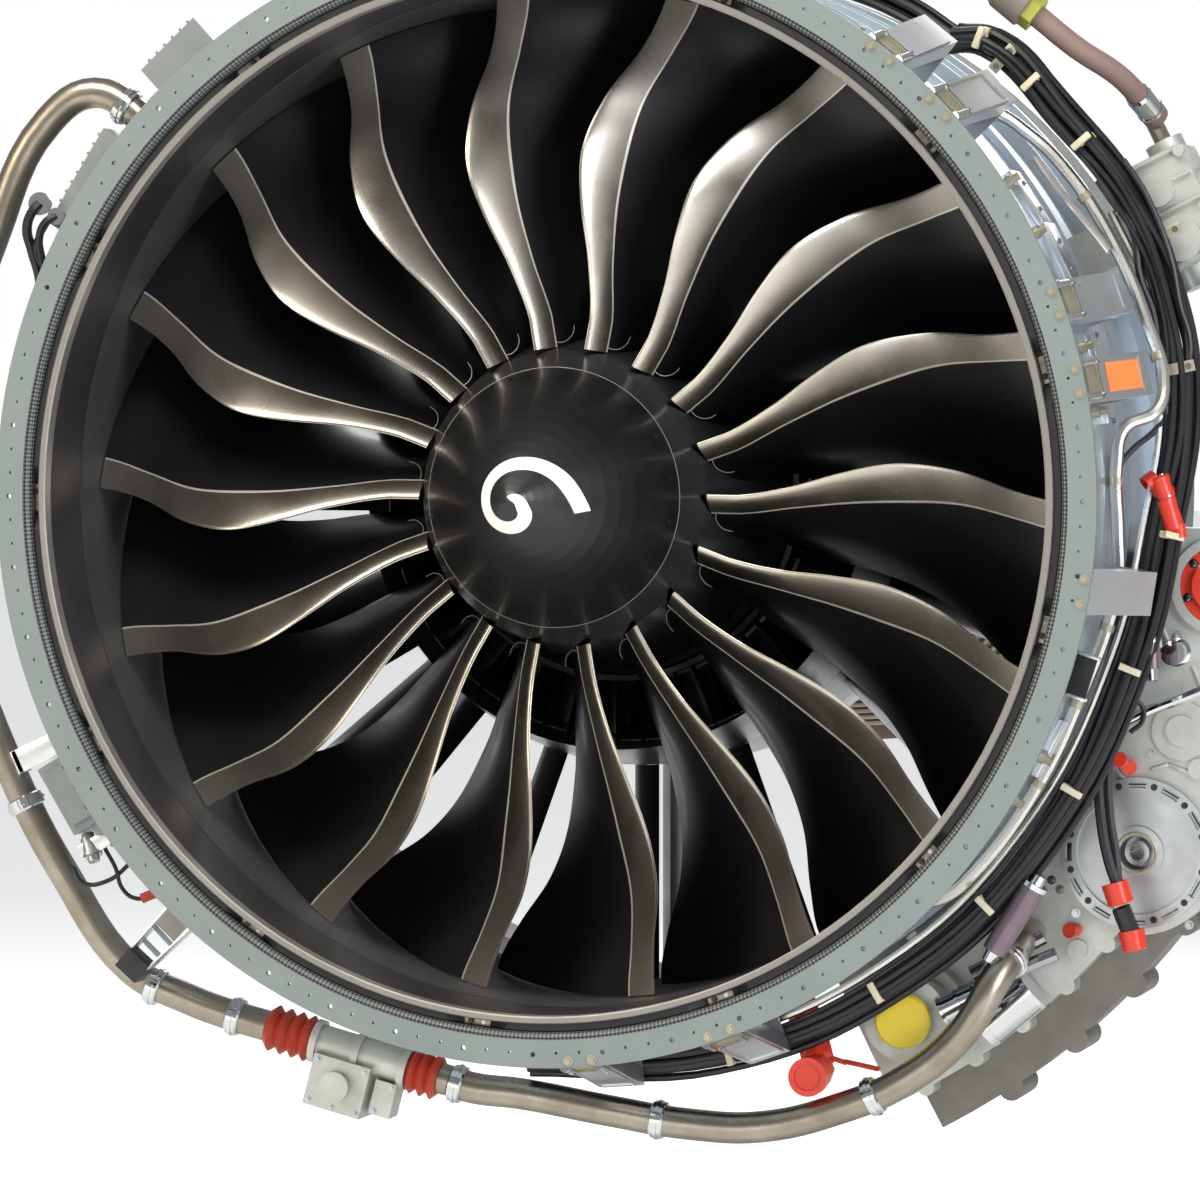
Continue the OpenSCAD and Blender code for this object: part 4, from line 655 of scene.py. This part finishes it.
LEFT_DUCT = route_of([(out, DUCT_Y, angle) for out, angle in (
    (0, 140.2), (121, 140.3), (239, 141.3), (287, 145.9), (280, 157.3), (288, 170), (294, -177.4),
    (277, -166), (269, -154.7), (276, -144.3), (291, -134.2), (254, -128.7))])
LEFT_DUCT += [valve_line(-80), valve_line(0)]
LOWER_DUCT = [valve_line(370), valve_line(440)] + route_of([(out, DUCT_Y, angle) for out, angle in (
    (144, -95.8), (167, -87.2), (209, -79.4), (242, -73.3), (258, -66.4), (265, -59.7), (248, -53.4))])
LOWER_DUCT += route_of([(206, 345, -48.2), (186, 410, -45.7), (174, 500, -45), (174, 560, -45)])


def stack(sections, sides=32, place=None):
    made = []
    for low, high, start_r, end_r in sections:
        made.append(start_piece(bpy.ops.mesh.primitive_cone_add, vertices=sides, radius1=start_r * MM,
                                radius2=end_r * MM, depth=(high - low) * MM,
                                location=(0, 0, (low + high) / 2 * MM)))
        bpy.ops.object.transform_apply(location=True, rotation=False, scale=False)
    whole = joined(made)
    if place:
        whole.data.transform(place)
    return whole


def along(route, place):
    knots = [Vector(p) for p in route]
    here, ahead = smooth_curve(knots, place), smooth_curve(knots, place + 0.05)
    return aimed(here, ahead - here)


duct = [tube(route, DUCT_R, 24) for route in (LEFT_DUCT, LOWER_DUCT)]
duct = keep_piece(duct, "steel_air_duct", "tube_steel")
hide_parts("air_duct")
collar = [(-14, -11, 34, 37), (-11, -3, 37, 37), (-3, 3, 40, 40), (3, 11, 37, 37), (11, 14, 37, 34)]
spots = [along(LEFT_DUCT, p) for p in (1.4, 4.5, 8.3, 10.4, 12.1)]
spots += [along(LOWER_DUCT, p) for p in (0.6, 3.6, 6.5, 9.6)]
keep_piece(copies_at(stack(collar), spots), "duct_collars", "polished_steel")
print("duct", len(duct.data.polygons), "faces,", len(spots), "collars")

# %% [markdown]
# Fittings on the right. Cream moulded blocks hold the cables side by side, in
# combs of five teeth. Each tooth is a bevelled cube turned to the cable's course.
# Four more finishes are needed here: cream nylon, grey-purple anodised shells,
# tan cadmium-plated heads and an orange film.

# %% Plastics and plates for the fittings
FITTING_FINISHES = [
    ("clamp_block", "cream_clamp_block", "#CFC7A8", "#BDB494", 0.0, (0.45, 0.58), 30),
    ("connector_shell", "anodised_connector", "#7B6A72", "#6A5B63", 0.55, (0.30, 0.42), 25),
    ("tan_bolt", "cadmium_bolt_head", "#A9A28C", "#8F8871", 0.6, (0.34, 0.46), 12),
    ("orange_patch", "orange_patch_film", "#EE8A45", "#E27B38", 0.0, (0.40, 0.50), 40, 1.2, 0.01),
]
finishes.update({key: finish_of(*row) for key, *row in FITTING_FINISHES})


def box(size, place, bevel=1.5):
    made = start_piece(bpy.ops.mesh.primitive_cube_add, size=1)
    made.scale = [s * MM for s in size]
    bpy.ops.object.transform_apply(location=False, rotation=False, scale=True)
    if bevel:
        edit_all(made)
        bpy.ops.mesh.bevel(offset=bevel * MM, segments=2, affect="EDGES")
        leave_edit()
    made.data.transform(place)
    return made


def shifted(x, y, z):
    return Matrix.Translation(Vector((x, y, z)) * MM)


TOOTH, TOOTH_OFFSETS = (11, 44, 13), (-36, -18, 0, 18, 36)
loom_points = route_of(LOOM)
block_spots = [along(loom_points, p) for p in (0.9, 1.6, 2.3, 6.05, 7.05, 7.7, 8.4, 9.1, 9.9, 10.65)]
combs = [box(TOOTH, spot @ shifted(offset, 0, 0), 2) for spot in block_spots for offset in TOOTH_OFFSETS]
keep_piece(combs, "loom_combs", "clamp_block")
print(len(block_spots), "cable blocks")

# %% [markdown]
# Thin branches leave the bundle for the gearbox, the control and the caps. Their
# routes are listed too, each with its radius. Thin steel tubes go with them.

# %% Branch cables
BRANCHES = [
    (8, [(1012, 430, 612), (1045, 430, 565), (1079, 430, 518), (1095, 432, 425), (1122, 434, 350),
         (1134, 430, 238), (1150, 425, 160)]),
    (6, [(1062, 425, 650), (1102, 428, 590), (1154, 430, 462), (1173, 430, 369), (1192, 430, 300),
         (1183, 430, 229), (1155, 430, 168), (1122, 425, 126), (1086, 415, 95), (1062, 400, 60),
         (1062, 390, 20)]),
    (6, [(1041, 440, 640), (1079, 440, 560), (1112, 442, 457), (1150, 444, 350), (1162, 442, 270),
         (1146, 440, 190), (1140, 430, 110), (1150, 420, 40)]),
    (11, [(1040, 420, -466), (1022, 415, -526), (1025, 412, -615), (1040, 412, -699), (1055, 415, -745)]),
    (9, [(1052, 432, -455), (1036, 428, -526), (1040, 425, -615), (1052, 422, -690), (1058, 418, -745)]),
    (19, [(1064, 415, -792), (1075, 420, -822), (1086, 425, -850)]),
    (5, [(1030, 430, -420), (1060, 440, -392), (1095, 450, -400), (1098, 452, -432), (1075, 445, -455)]),
    (6, [(1100, 415, -250), (1104, 412, -300), (1092, 410, -352), (1062, 408, -390), (1040, 405, -420)]),
]
keep_piece([tube(route, radius, 12, 6) for radius, route in BRANCHES], "branch_cables", "cable_sheath")

THIN_STEEL = [(890, 420, 655), (923, 410, 612), (952, 405, 579), (989, 400, 537), (1020, 395, 501),
              (1042, 390, 474)]
FLEX = [(1044, 480, -440), (1099, 480, -414), (1154, 480, -399), (1215, 480, -376), (1280, 480, -352)]
steel = [tube(THIN_STEEL, 8), tube(FLEX, 9), tube(route_of(LOOM[3:], -40, -8), 8, 12, 8)]
keep_piece(steel, "thin_steel_tubes", "bright_tube")
print(len(BRANCHES), "branches")

# %% [markdown]
# A cable that ends in a red cap has a rubber boot, the cap and a short neck. Other
# ends are connectors: a grey-purple shell, a knurled ring and a neck. Each is a
# short stack of cones, given as low end, high end and the two radii, and aimed.

# %% Caps and connectors
CAPS = [(1058, 416, -765, 0.3, 0, -1, 27, 44), (1086, 426, -856, 0.2, 0, -1, 26, 40),
        (1144, 405, 20, -0.3, -0.2, 1, 22, 50), (1160, 402, -34, 0.3, 0, -1, 21, 62)]
SHELLS = [(1127, 390, -300, 0.05, 0, -1, 15, 56), (868, 345, -812, -0.52, 0, -0.85, 25, 150)]
caps, shells, rings = [], [], []
for *place, dx, dy, dz, r, length in CAPS:
    end = length / 2
    caps.append(stack([(-end, end - 3, r, r * 0.94), (end - 3, end, r * 0.94, r * 0.8)], 32,
                      aimed(place, (dx, dy, dz))))
for *place, dx, dy, dz, r, length in SHELLS:
    end, spot = length / 2, aimed(place, (dx, dy, dz))
    shells.append(stack([(-end, end, r, r * 0.97)], 32, spot))
    rings.append(stack([(-end - 24, -end, r * 0.5, r * 0.62), (-end - 6, -end + 4, r * 1.1, r * 1.1),
                        (end, end + 22, r * 0.66, r * 0.55)], 24, spot))
keep_piece(caps, "red_cable_caps", "red_cover")
keep_piece(shells, "connector_shells", "connector_shell")
keep_piece(rings, "connector_rings", "polished_steel")
print(len(caps), "caps,", len(shells), "connectors")

# %% [markdown]
# At the top the bundle's cables part again and run back over the case. Their tails
# start where the loom ends, so they use the same offsets across it.

# %% Cable tails
TAIL = [(90, 530, 52), (86, 545, 57), (70, 556, 64), (44, 568, 72), (20, 580, 79)]
TAIL_STRANDS = [(-13, -14, 9), (13, -13, 9), (-13, 13, 8), (13, 14, 9), (27, 2, 6), (0, 26, 6)]
tails = [tube(route_of(TAIL, out, aft), radius, 12, 6) for out, aft, radius in TAIL_STRANDS]
keep_piece(tails, "cable_tails", "cable_sheath")
print(len(tails), "cable tails")

# %% [markdown]
# An engine is held together by hundreds of small fasteners, and they tell its size.
# One hexagon head on a washer is modelled once and copied to every place. Blocks and
# plates are bevelled cubes given in a clock frame: distance from the engine axis,
# distance aft, and distance across.

# %% Bolts and blocks
def bolt(radius, height):
    washer = stack([(0, 1.4, radius * 1.5, radius * 1.5)], 18)
    return joined([washer, stack([(1.4, height, radius, radius * 0.92)], 6)])


def keep_bolts(name, places, radius, height, finish):
    spots = [aimed(place, FRONT) if isinstance(place, Vector) else aimed(*place) for place in places]
    keep_piece(copies_at(bolt(radius, height), spots), name, finish)
    print(len(spots), name)


def block(degrees, low, high, bevel=1.5):
    low, high = Vector(low), Vector(high)
    return box(high - low, clock(degrees) @ shifted(*(low + high) / 2), bevel)


def turned_piece(sections, place, direction, sides=28):
    return stack(sections, sides, aimed(place, direction))


print("bolts face", tuple(FRONT))

# %% [markdown]
# The channel brackets are bolted through the flange, two heads to each. Between
# them the flange's inner edge shows small tan plates: they sit in the notches of
# the sound lining, each with one bolt and one rivet.

# %% Flange bolts and notch plates
BRACKET_ANGLES, FLANGE_BOLT_R, BOLT_PAIR = (51, 43, 20, 12, -9, -70, -85), 1076, (-1.25, 1.25)
NOTCHES, FIRST_NOTCH, NOTCH_R, NOTCH_Y = 13, 14, 1013, 34
pairs = [on_clock(FLANGE_BOLT_R, a + side, 0) for a in BRACKET_ANGLES for side in BOLT_PAIR]
keep_bolts("flange_bolts", pairs, 6.5, 6, "tan_bolt")
notches = [FIRST_NOTCH + 360 * k / NOTCHES for k in range(NOTCHES)]
keep_piece([block(a, (1007, NOTCH_Y, -26), (1019.5, 36, 26), 0.8) for a in notches], "notch_plates",
           "tan_bolt")
keep_bolts("notch_bolts", [on_clock(NOTCH_R, a - 0.7, NOTCH_Y) for a in notches], 4.2, 5, "dark_steel")
keep_bolts("notch_rivets", [on_clock(NOTCH_R, a + 0.7, NOTCH_Y) for a in notches], 2.8, 2.5,
           "bearing_steel")

# %% [markdown]
# Each channel bracket but one carries on its sloping face a pressed tray and a tan
# end fitting with four bolts, and one of them an orange patch. A tray is a plate
# whose top face is inset and pushed down, as the press does it.

# %% Bracket trays
SLOPE_LOW, SLOPE_HIGH = Vector((1083, 12, 0)), Vector((1160, 300, 0))
TRAY_AT, FITTING_AT, EYES_AT, PATCH_AT, BARE_BRACKET = 0.56, 0.12, 0.04, 0.6, -9


def on_slope(degrees, share, *offset):
    run = SLOPE_HIGH - SLOPE_LOW
    tilt = Matrix.Rotation(-math.atan2(run.x, run.y), 4, "Z")
    return clock(degrees) @ shifted(*(SLOPE_LOW + run * share)) @ tilt @ shifted(*(offset or (0, 0, 0)))


def tray(width, length, height, rim, depth, place):
    plate = box((height, length, width), Matrix(), 0)
    for face in plate.data.polygons:
        face.select = face.normal.x > 0.9
    pick(plate)
    bpy.ops.object.mode_set(mode="EDIT")
    bpy.ops.mesh.select_mode(type="FACE")
    bpy.ops.mesh.inset(thickness=rim * MM)
    bpy.ops.mesh.extrude_region_move(TRANSFORM_OT_translate={"value": (-depth * MM, 0, 0)})
    leave_edit()
    plate.data.transform(place @ shifted(height / 2, 0, 0))
    return plate


OUTWARDS, LENGTHWAYS = Matrix.Rotation(math.pi / 2, 4, "Y"), Matrix.Rotation(math.pi / 2, 4, "X")
trays, fittings, heads, eyes = [], [], [], []
for degrees in [a for a in BRACKET_ANGLES if a != BARE_BRACKET]:
    trays.append(tray(76, 190, 5, 5, 3, on_slope(degrees, TRAY_AT)))
    fittings.append(tray(80, 52, 6, 6, 3, on_slope(degrees, FITTING_AT)))
    for up, across in ((-34, -30), (-34, 30), (30, -30), (30, 30)):
        head = bolt(4, 6)
        head.data.transform(on_slope(degrees, FITTING_AT, 5, up, across) @ OUTWARDS)
        heads.append(head)
    for across in (-33, 33):
        spot = on_slope(degrees, EYES_AT, 7, 10, across) @ LENGTHWAYS
        eyes.append(stack([(-24, 24, 7, 7), (24, 30, 9, 9)], 18, spot))
keep_piece(trays, "bracket_trays", "bracket_plate")
keep_piece(fittings, "bracket_end_fittings", "tan_bolt")
keep_piece(heads, "bracket_bolts", "bearing_steel")
keep_piece(eyes, "bracket_eyes", "polished_steel")
patch = box((1, 145, 56), on_slope(12, PATCH_AT, 3, 0, 0), 0)
keep_piece(patch, "orange_patch", "orange_patch")
print(len(trays), "trays")

# %% [markdown]
# The case's skin carries thin sheet stands, studs with nuts, and the dark plate of
# one more bracket. Flat tan clips cross from the skin to the cables, and bands hold
# the steel tube.

# %% Stands, studs, clips and bands
STANDS = [(26, 340, 440, 70), (15.5, 330, 430, 50), (9.6, 320, 400, 34), (33, 330, 420, 60),
          (-27, 300, 380, 60)]
plates = [block(a, (1050, y0, -half), (1064, y1, half), 1.5) for a, y0, y1, half in STANDS]
plates += [block(-17.8, (1049, 146, side - 3), (1110, 160, side + 3), 1) for side in (-41, 41)]
keep_piece(plates, "skin_stands", "bracket_plate")
keep_piece(block(-17.8, (1049, 149, -38), (1106, 152, 38), 0), "dark_bracket_plate", "dark_steel")
STUDS = [(28.6, 240), (15.9, 250), (9.1, 250), (-28, 290), (-33, 250), (57, 250), (35, 300)]
studs = [turned_piece([(-8, 12, 13, 12), (12, 26, 8, 8)], on_clock(1051, a, y), outward(a), 12)
         for a, y in STUDS]
keep_piece(studs, "skin_studs", "tan_bolt")
spots = [(on_clock(1064, a + side, (y0 + y1) / 2), outward(a)) for a, y0, y1, half in STANDS
         for side in (-1.6, 1.6)]
keep_bolts("stand_bolts", spots, 5, 6, "bearing_steel")

CLIPS = [(24, 1205, 1282, 440), (12, 1158, 1230, 415), (46, 1150, 1212, 450), (-52, 1075, 1150, 350)]
clips = [block(a, (low, y, -11), (high, y + 4, 11), 1.2) for a, low, high, y in CLIPS]
keep_piece(clips, "cable_clips", "tan_bolt")
keep_bolts("clip_bolts", [on_clock(r, a, y) for a, low, high, y in CLIPS for r in (low + 12, high - 12)],
           4, 5, "bearing_steel")

spots = [along(DRAIN, p) for p in (3.4, 5.5, 9.3, 12.2, 13.2, 14.0)]
keep_piece(copies_at(stack([(-7, 7, 15.2, 15.2)], 20), spots), "tube_bands", "tan_bolt")
print(len(STANDS), "stands,", len(STUDS), "studs")

# %% [markdown]
# The gearbox is a sand casting with ribs, bolted bosses and a blank cover. The pad
# for the generator has a machined face: a rim of bolts and slots, a shallow dish and
# a dark splined bore with a tan ring round it. Small red plugs close its open ports.

# %% Gearbox fasteners
FACE_Y = 560
CASTING_BOLTS = [(1133, -112), (1118, -152), (1105, -222), (1149, -271), (1166, -315), (1066, -357),
                 (1041, -417), (1097, -501), (1185, -497), (900, -754), (917, -772), (949, -818),
                 (1173, -836)]
keep_bolts("casting_bolts", [Vector((x, FACE_Y, z)) for x, z in CASTING_BOLTS], 6, 7, "bearing_steel")
pad = on_clock(SKIN_R + 236, -33, FACE_Y - 22)
cover = on_clock(SKIN_R + 203, -8, FACE_Y - 9)
PAD_BOLT_R, PAD_BOLTS, SLOT_SUNK, COVER_BOLT_R = 134, 12, 8.4, 68
turns = [360 / PAD_BOLTS * k for k in range(PAD_BOLTS)]
slots = [box((10, 2, 34), aimed(pad + on_clock(PAD_BOLT_R, turn, SLOT_SUNK), outward(turn + 90)), 0.8)
         for turn in turns]
keep_piece(slots, "pad_slots", "dark_steel")
between = [pad + on_clock(PAD_BOLT_R, turn + 180 / PAD_BOLTS, 0) for turn in turns]
keep_bolts("pad_bolts", between, 4.5, 5, "dark_steel")
lining = start_piece(bpy.ops.mesh.primitive_torus_add, major_radius=39 * MM, minor_radius=3.5 * MM,
                     major_segments=48, minor_segments=10)
lining.data.transform(aimed(pad + Vector((0, 1.5, 0)), FRONT))
keep_piece(lining, "pad_bore_lining", "tan_bolt")
keep_bolts("cover_bolts", [cover + on_clock(COVER_BOLT_R, 60 * k + 20, 0) for k in range(6)], 6, 7,
           "polished_steel")

PLUGS = [((1056, 545, -528), (0.2, -1, 0)), ((946, 545, -850), (-0.4, -1, 0)),
         ((1052, 470, -512), (0, -1, 0.3))]
plugs = [turned_piece([(-14, 10, 12, 12), (10, 16, 15, 15)], place, facing, 16)
         for place, facing in PLUGS]
keep_piece(plugs, "red_plugs", "red_cover")

RIBS = [((1097, -533), (1132, -522)), ((1132, -522), (1192, -546)), ((1090, -190), (1150, -330)),
        ((1000, -480), (1045, -560)), ((1178, -330), (1206, -395))]
ribs = []
for (x0, z0), (x1, z1) in RIBS:
    low, high = Vector((x0, FACE_Y - 3, z0)), Vector((x1, FACE_Y - 3, z1))
    ribs.append(box((7, 8, (high - low).length), aimed((low + high) / 2, high - low), 2))
keep_piece(ribs, "casting_ribs", "cast_aluminium")
print(len(ribs), "ribs")

# %% [markdown]
# Pipe fittings in front of the gearbox: a silver elbow with its nut, two flexible
# pipes in purple sleeves, braided steel lines to the oil filter, a clamped canister
# beside the starter, and a red strap.

# %% Pipe fittings
ELBOW = [(1066, 440, -272), (1096, 440, -264), (1120, 446, -268), (1126, 450, -292)]
SLEEVE = [(1126, 420, -300), (1124, 405, -322), (1122, 398, -350)]
LONG_SLEEVE = [(905, 405, -742), (880, 398, -780), (852, 392, -826), (826, 388, -872)]
silver = [tube(ELBOW, 11, 16),
          turned_piece([(0, 18, 19, 19), (18, 30, 15, 14)], (1148, 545, -303), FRONT, 6),
          turned_piece([(0, 52, 24, 24), (52, 60, 28, 28)], (1148, 500, -303), (0, 1, 0)),
          tube([(822, 386, -880), (806, 384, -925), (800, 384, -958)], 13),
          tube([(1060, 470, -440), (1110, 470, -414), (1175, 470, -388), (1240, 470, -362)], 10)]
keep_piece(silver, "silver_pipe_fittings", "polished_steel")
keep_piece([tube(SLEEVE, 15, 16), tube(LONG_SLEEVE, 22, 20)], "purple_sleeves", "connector_shell")
BRAIDS = [[(765, 440, -930), (812, 446, -905), (860, 452, -880), (905, 458, -856)],
          [(742, 440, -972), (800, 446, -946), (860, 452, -920), (930, 460, -890)]]
keep_piece([tube(route, 15, 16) for route in BRAIDS], "steel_braided_lines", "bearing_steel")
keep_piece(turned_piece([(-34, 34, 24, 24), (-40, -34, 28, 28), (34, 40, 28, 28), (-4, 4, 27, 27)],
                        (748, 405, -984), (0.9, 0.1, 0.45)), "clamped_canister", "polished_steel")
STRAP = [((440, 430, -1088), (520, 430, -1112)), ((512, 430, -1108), (585, 430, -1122))]
strap = []
for low, high in STRAP:
    run = Vector(high) - Vector(low)
    strap.append(box((24, 7, run.length), aimed((Vector(low) + Vector(high)) / 2, run), 2))
keep_piece(strap, "red_strap", "red_cover")
print(len(silver), "fittings")

# %% [markdown]
# On the right, a red cap covers an open connector, and a red loop holds its cable.
# The loop is a flat strap bent round: a short wide tube with its wall made solid.

# %% Red cap and loop
LOOP_R, LOOP_WIDTH, LOOP_WALL, LOOP_SQUASH = 27, 24, 3.5, 0.62
cap = [turned_piece([(-38, 30, 15, 20), (30, 38, 20, 15)], (1160, 405, -30), (0.28, 0, -1), 20),
       turned_piece([(-16, 10, 12, 14)], (1178, 400, -66), (0.1, 0, -1), 16)]
keep_piece(cap, "red_cap", "red_cover")
loop = start_piece(bpy.ops.mesh.primitive_cylinder_add, vertices=32, radius=LOOP_R * MM,
                   depth=LOOP_WIDTH * MM, end_fill_type="NOTHING")
loop.data.transform(Matrix.Scale(LOOP_SQUASH, 4, (0, 1, 0)))
wall = loop.modifiers.new("wall", "SOLIDIFY")
wall.thickness = LOOP_WALL * MM
bpy.ops.object.modifier_apply(modifier="wall")
loop.data.transform(aimed((1119, 410, 32), (0.75, 0.35, 0.55)))
keep_piece(loop, "red_loop", "red_cover")
socket = turned_piece([(-16, 16, 14, 14), (16, 22, 18, 18), (-24, -16, 10, 10)], (1146, 405, 22),
                      (0.28, 0, -1))
keep_piece(socket, "cap_socket", "polished_steel")
print("loop", 2 * LOOP_R, "mm across")

# %% [markdown]
# The hose at the top ends in a ribbed silver ferrule and a brown ring, and a bent
# steel tube leads on into the control unit. Where the hose starts there is a
# yellow-green hexagon nut on a grey-brown body.

# %% Hose ends
finishes["green_nut"] = finish_of("passivated_hex_nut", "#C4C860", "#B0B34F", 0.55, (0.28, 0.40), 20)
finishes["body_brown"] = finish_of("grey_brown_moulding", "#7C726A", "#6B625B", 0.1, (0.45, 0.58))
hose_start, hose_end = along(HOSE, 5.0), along(HOSE, 7.9)
keep_piece(stack([(-34, -26, 25, 27), (-26, 20, 27, 26), (20, 26, 28, 28)], 32, hose_end), "hose_ferrule",
           "polished_steel")
keep_piece(stack([(26, 46, 27, 26)], 32, hose_end), "hose_collar", "hose_braid")
keep_piece(tube(HOSE[7:], 17, 16), "bent_control_tube", "tube_steel")
keep_piece(stack([(-12, 12, 36, 36)], 6, hose_start), "hose_nut", "green_nut", 0)
keep_piece(stack([(-74, -14, 40, 42), (-14, -10, 42, 36), (-90, -74, 30, 40)], 32, hose_start),
           "hose_body", "body_brown")
reach = (hose_end.translation - hose_start.translation).length
print("nut to ferrule", round(reach, 3), "m")

# %% [markdown]
# On the left an ignition unit hangs below the case: a smooth enamelled box with a
# cover plate, two pale screws, and plated connectors on a small shelf, with leads.

# %% Ignition unit
UNIT = -149


def by_unit(out, aft, across):
    return (clock(UNIT) @ (Vector((out, aft, across)) * MM)) / MM


keep_piece(block(UNIT, (1112, 219, -70), (1158, 222.5, 34), 3), "unit_cover_plate", "grey_paint")
keep_bolts("unit_screws", [by_unit(1140, 219, a) for a in (-38, -8)], 6, 4, "bearing_steel")
lugs = [by_unit(1163, 223, a) for a in (-66, -20, 26)] + [by_unit(1100, 230, a) for a in (-70, 30)]
keep_bolts("unit_lug_bolts", lugs, 4, 4, "dark_steel")
keep_piece([block(UNIT, (1098, 250, 80), (1236, 253, 112)),
            block(UNIT, (1098, 250, 58), (1102, 290, 112))], "connector_shelf", "bracket_plate")
plugs = [turned_piece([(-26, -16, 13, 13), (-16, 16, 17, 17), (16, 22, 20, 20), (22, 34, 13, 12)],
                      by_unit(1212, 262, 92), (0.35, -0.3, -0.9)),
         turned_piece([(-22, -12, 9, 9), (-12, 12, 13, 13), (12, 18, 15, 15), (18, 30, 9, 8)],
                      by_unit(1160, 262, 98), (0.6, -0.2, -0.77))]
keep_piece(plugs, "unit_connectors", "bare_aluminium")
UNIT_LEADS = [
    [(-962, 262, -706), (-938, 262, -748), (-926, 264, -786), (-900, 266, -806), (-866, 270, -800),
     (-830, 280, -770), (-790, 300, -720)],
    [(-1030, 262, -745), (-1010, 270, -778), (-965, 280, -775), (-920, 290, -740), (-850, 300, -660)]]
keep_piece([tube(route, 4.5, 12) for route in UNIT_LEADS], "unit_leads", "cable_sheath")
keep_piece(turned_piece([(-14, 14, 10, 10), (14, 18, 12, 12)], (-872, 268, -801), (0.9, 0.1, 0.4), 20),
           "lead_plug", "red_bellows")

# %% [markdown]
# Two pressed brackets hold the air duct off the case. The front one is a ladder of
# two arms with rungs between them, the rear one a plate with a foot.

# %% Duct brackets
ARMS = [[Vector(p) for p in arm] for arm in (((-735, 170, -752), (-882, 170, -912)),
                                             ((-690, 170, -806), (-845, 170, -944)))]
RUNGS = (0.62, 0.78)


def strut(low, high, width, thickness):
    return box((width, thickness, (high - low).length), aimed((low + high) / 2, high - low))


struts = [strut(*arm, 44, 4) for arm in ARMS]
struts += [block(-155, (1040, 288, -24), (1284, 292, 24)), block(-155, (1270, 288, -24), (1282, 330, 24))]
struts += [strut(*(low.lerp(high, share) for low, high in ARMS), 30, 3) for share in RUNGS]
keep_piece(struts, "duct_struts", "bracket_plate")
keep_piece(box((50, 46, 54), aimed((-862, 165, -928), (-0.76, 0, 0.65))), "duct_clamp_plate", "black_cap")
keep_piece(box((3, 54, 62), aimed((-775, 149, -838), (0.68, 0, 0.73)), 1), "strut_face_plate",
           "satin_ring")
print(len(struts), "bracket plates")

# %% [markdown]
# Higher up on the left, a small relay box and two round connectors stand on the
# case, and three leads loop from them to the skin.

# %% Relay box and left leads
keep_piece(block(167, (1048, 300, -46), (1176, 384, 46), 6), "small_relay_box", "grey_paint")
rings = [turned_piece([(-10, 10, 19, 19), (10, 15, 23, 23)], (-1082, 238, 577), (0.1, -1, 0)),
         turned_piece([(-8, 8, 14, 14), (8, 12, 17, 17)], (-1050, 240, 552), (0.1, -1, 0))]
keep_piece(rings, "left_connector_rings", "polished_steel")
LEFT_LEADS = [
    (10, [(-1082, 226, 577), (-1094, 216, 560), (-1106, 220, 530), (-1108, 250, 488), (-1110, 300, 430),
          (-1118, 330, 370), (-1120, 340, 300)]),
    (8, [(-1050, 228, 552), (-1066, 218, 540), (-1082, 226, 512), (-1090, 260, 470), (-1096, 310, 410),
         (-1108, 330, 300)]),
    (6, [(-1060, 252, 560), (-1078, 240, 528), (-1098, 246, 490), (-1080, 300, 430), (-1040, 340, 380)])]
keep_piece([tube(route, radius, 12) for radius, route in LEFT_LEADS], "left_leads", "cable_sheath")
print(len(LEFT_LEADS), "left leads")

# %% [markdown]
# Screws close the valve box in the duct. They are placed along the valve's own line,
# which leans, and stand on the front of the box or on its smaller end.

# %% Valve screws
BOX_FRONT, END_FRONT, END_FROM = DUCT_Y - 52, DUCT_Y - 30, 240
VALVE_SCREWS = [(130, -108), (230, -108), (130, -24), (230, -24), (180, -110), (260, -96), (286, -42)]
screws = []
for distance, height in VALVE_SCREWS:
    place = valve_line(distance, height)
    place.y = BOX_FRONT if distance < END_FROM else END_FRONT
    screws.append(place)
keep_bolts("valve_bolts", screws, 4.5, 5, "bearing_steel")

# %% [markdown]
# Last, the hub. Small screws hold the spinner near its rim, one between each pair
# of blades, and its edge shows as a thin bright line. A rubber seal closes the gap
# at each blade's foot, and its lip curls out beside it. All of them turn with the
# fan.

# %% Spinner screws
SCREW_R, FIRST_SCREW, RIM_LINE_R, RIM_LINE_THIN = 241, FAN_CLOCK + 10, 251.4, 0.8
turns = [FIRST_SCREW + 360 * k / BLADES for k in range(BLADES)]
screws = [aimed(on_clock(SCREW_R, turn, cone_depth(SCREW_R) - 0.4), on_clock(0.82, turn, -0.57))
          for turn in turns]
keep_piece(copies_at(bolt(3.2, 3.5), screws), "spinner_screws", "dark_steel", body="low_pressure_spool")
rim = start_piece(bpy.ops.mesh.primitive_torus_add, major_radius=RIM_LINE_R * MM,
                  minor_radius=RIM_LINE_THIN * MM, major_segments=144, minor_segments=8)
rim.data.transform(shifted(0, 150.5, 0) @ LENGTHWAYS)
keep_piece(rim, "spinner_rim_line", "satin_ring", body="low_pressure_spool")
root = foil_point(300, 0.16, 1, 0.4) / MM
curl = [(0, 0, 0), (-2, 6, -12), (3, 14, -24), (14, 20, -33), (28, 24, -36)]
lip = tube([root + Vector(step) for step in curl], 0.8, 8)
keep_piece(copies_at(lip, places), "root_seal_lips", "satin_ring",
           body="low_pressure_spool")
print(len(screws), "spinner screws")
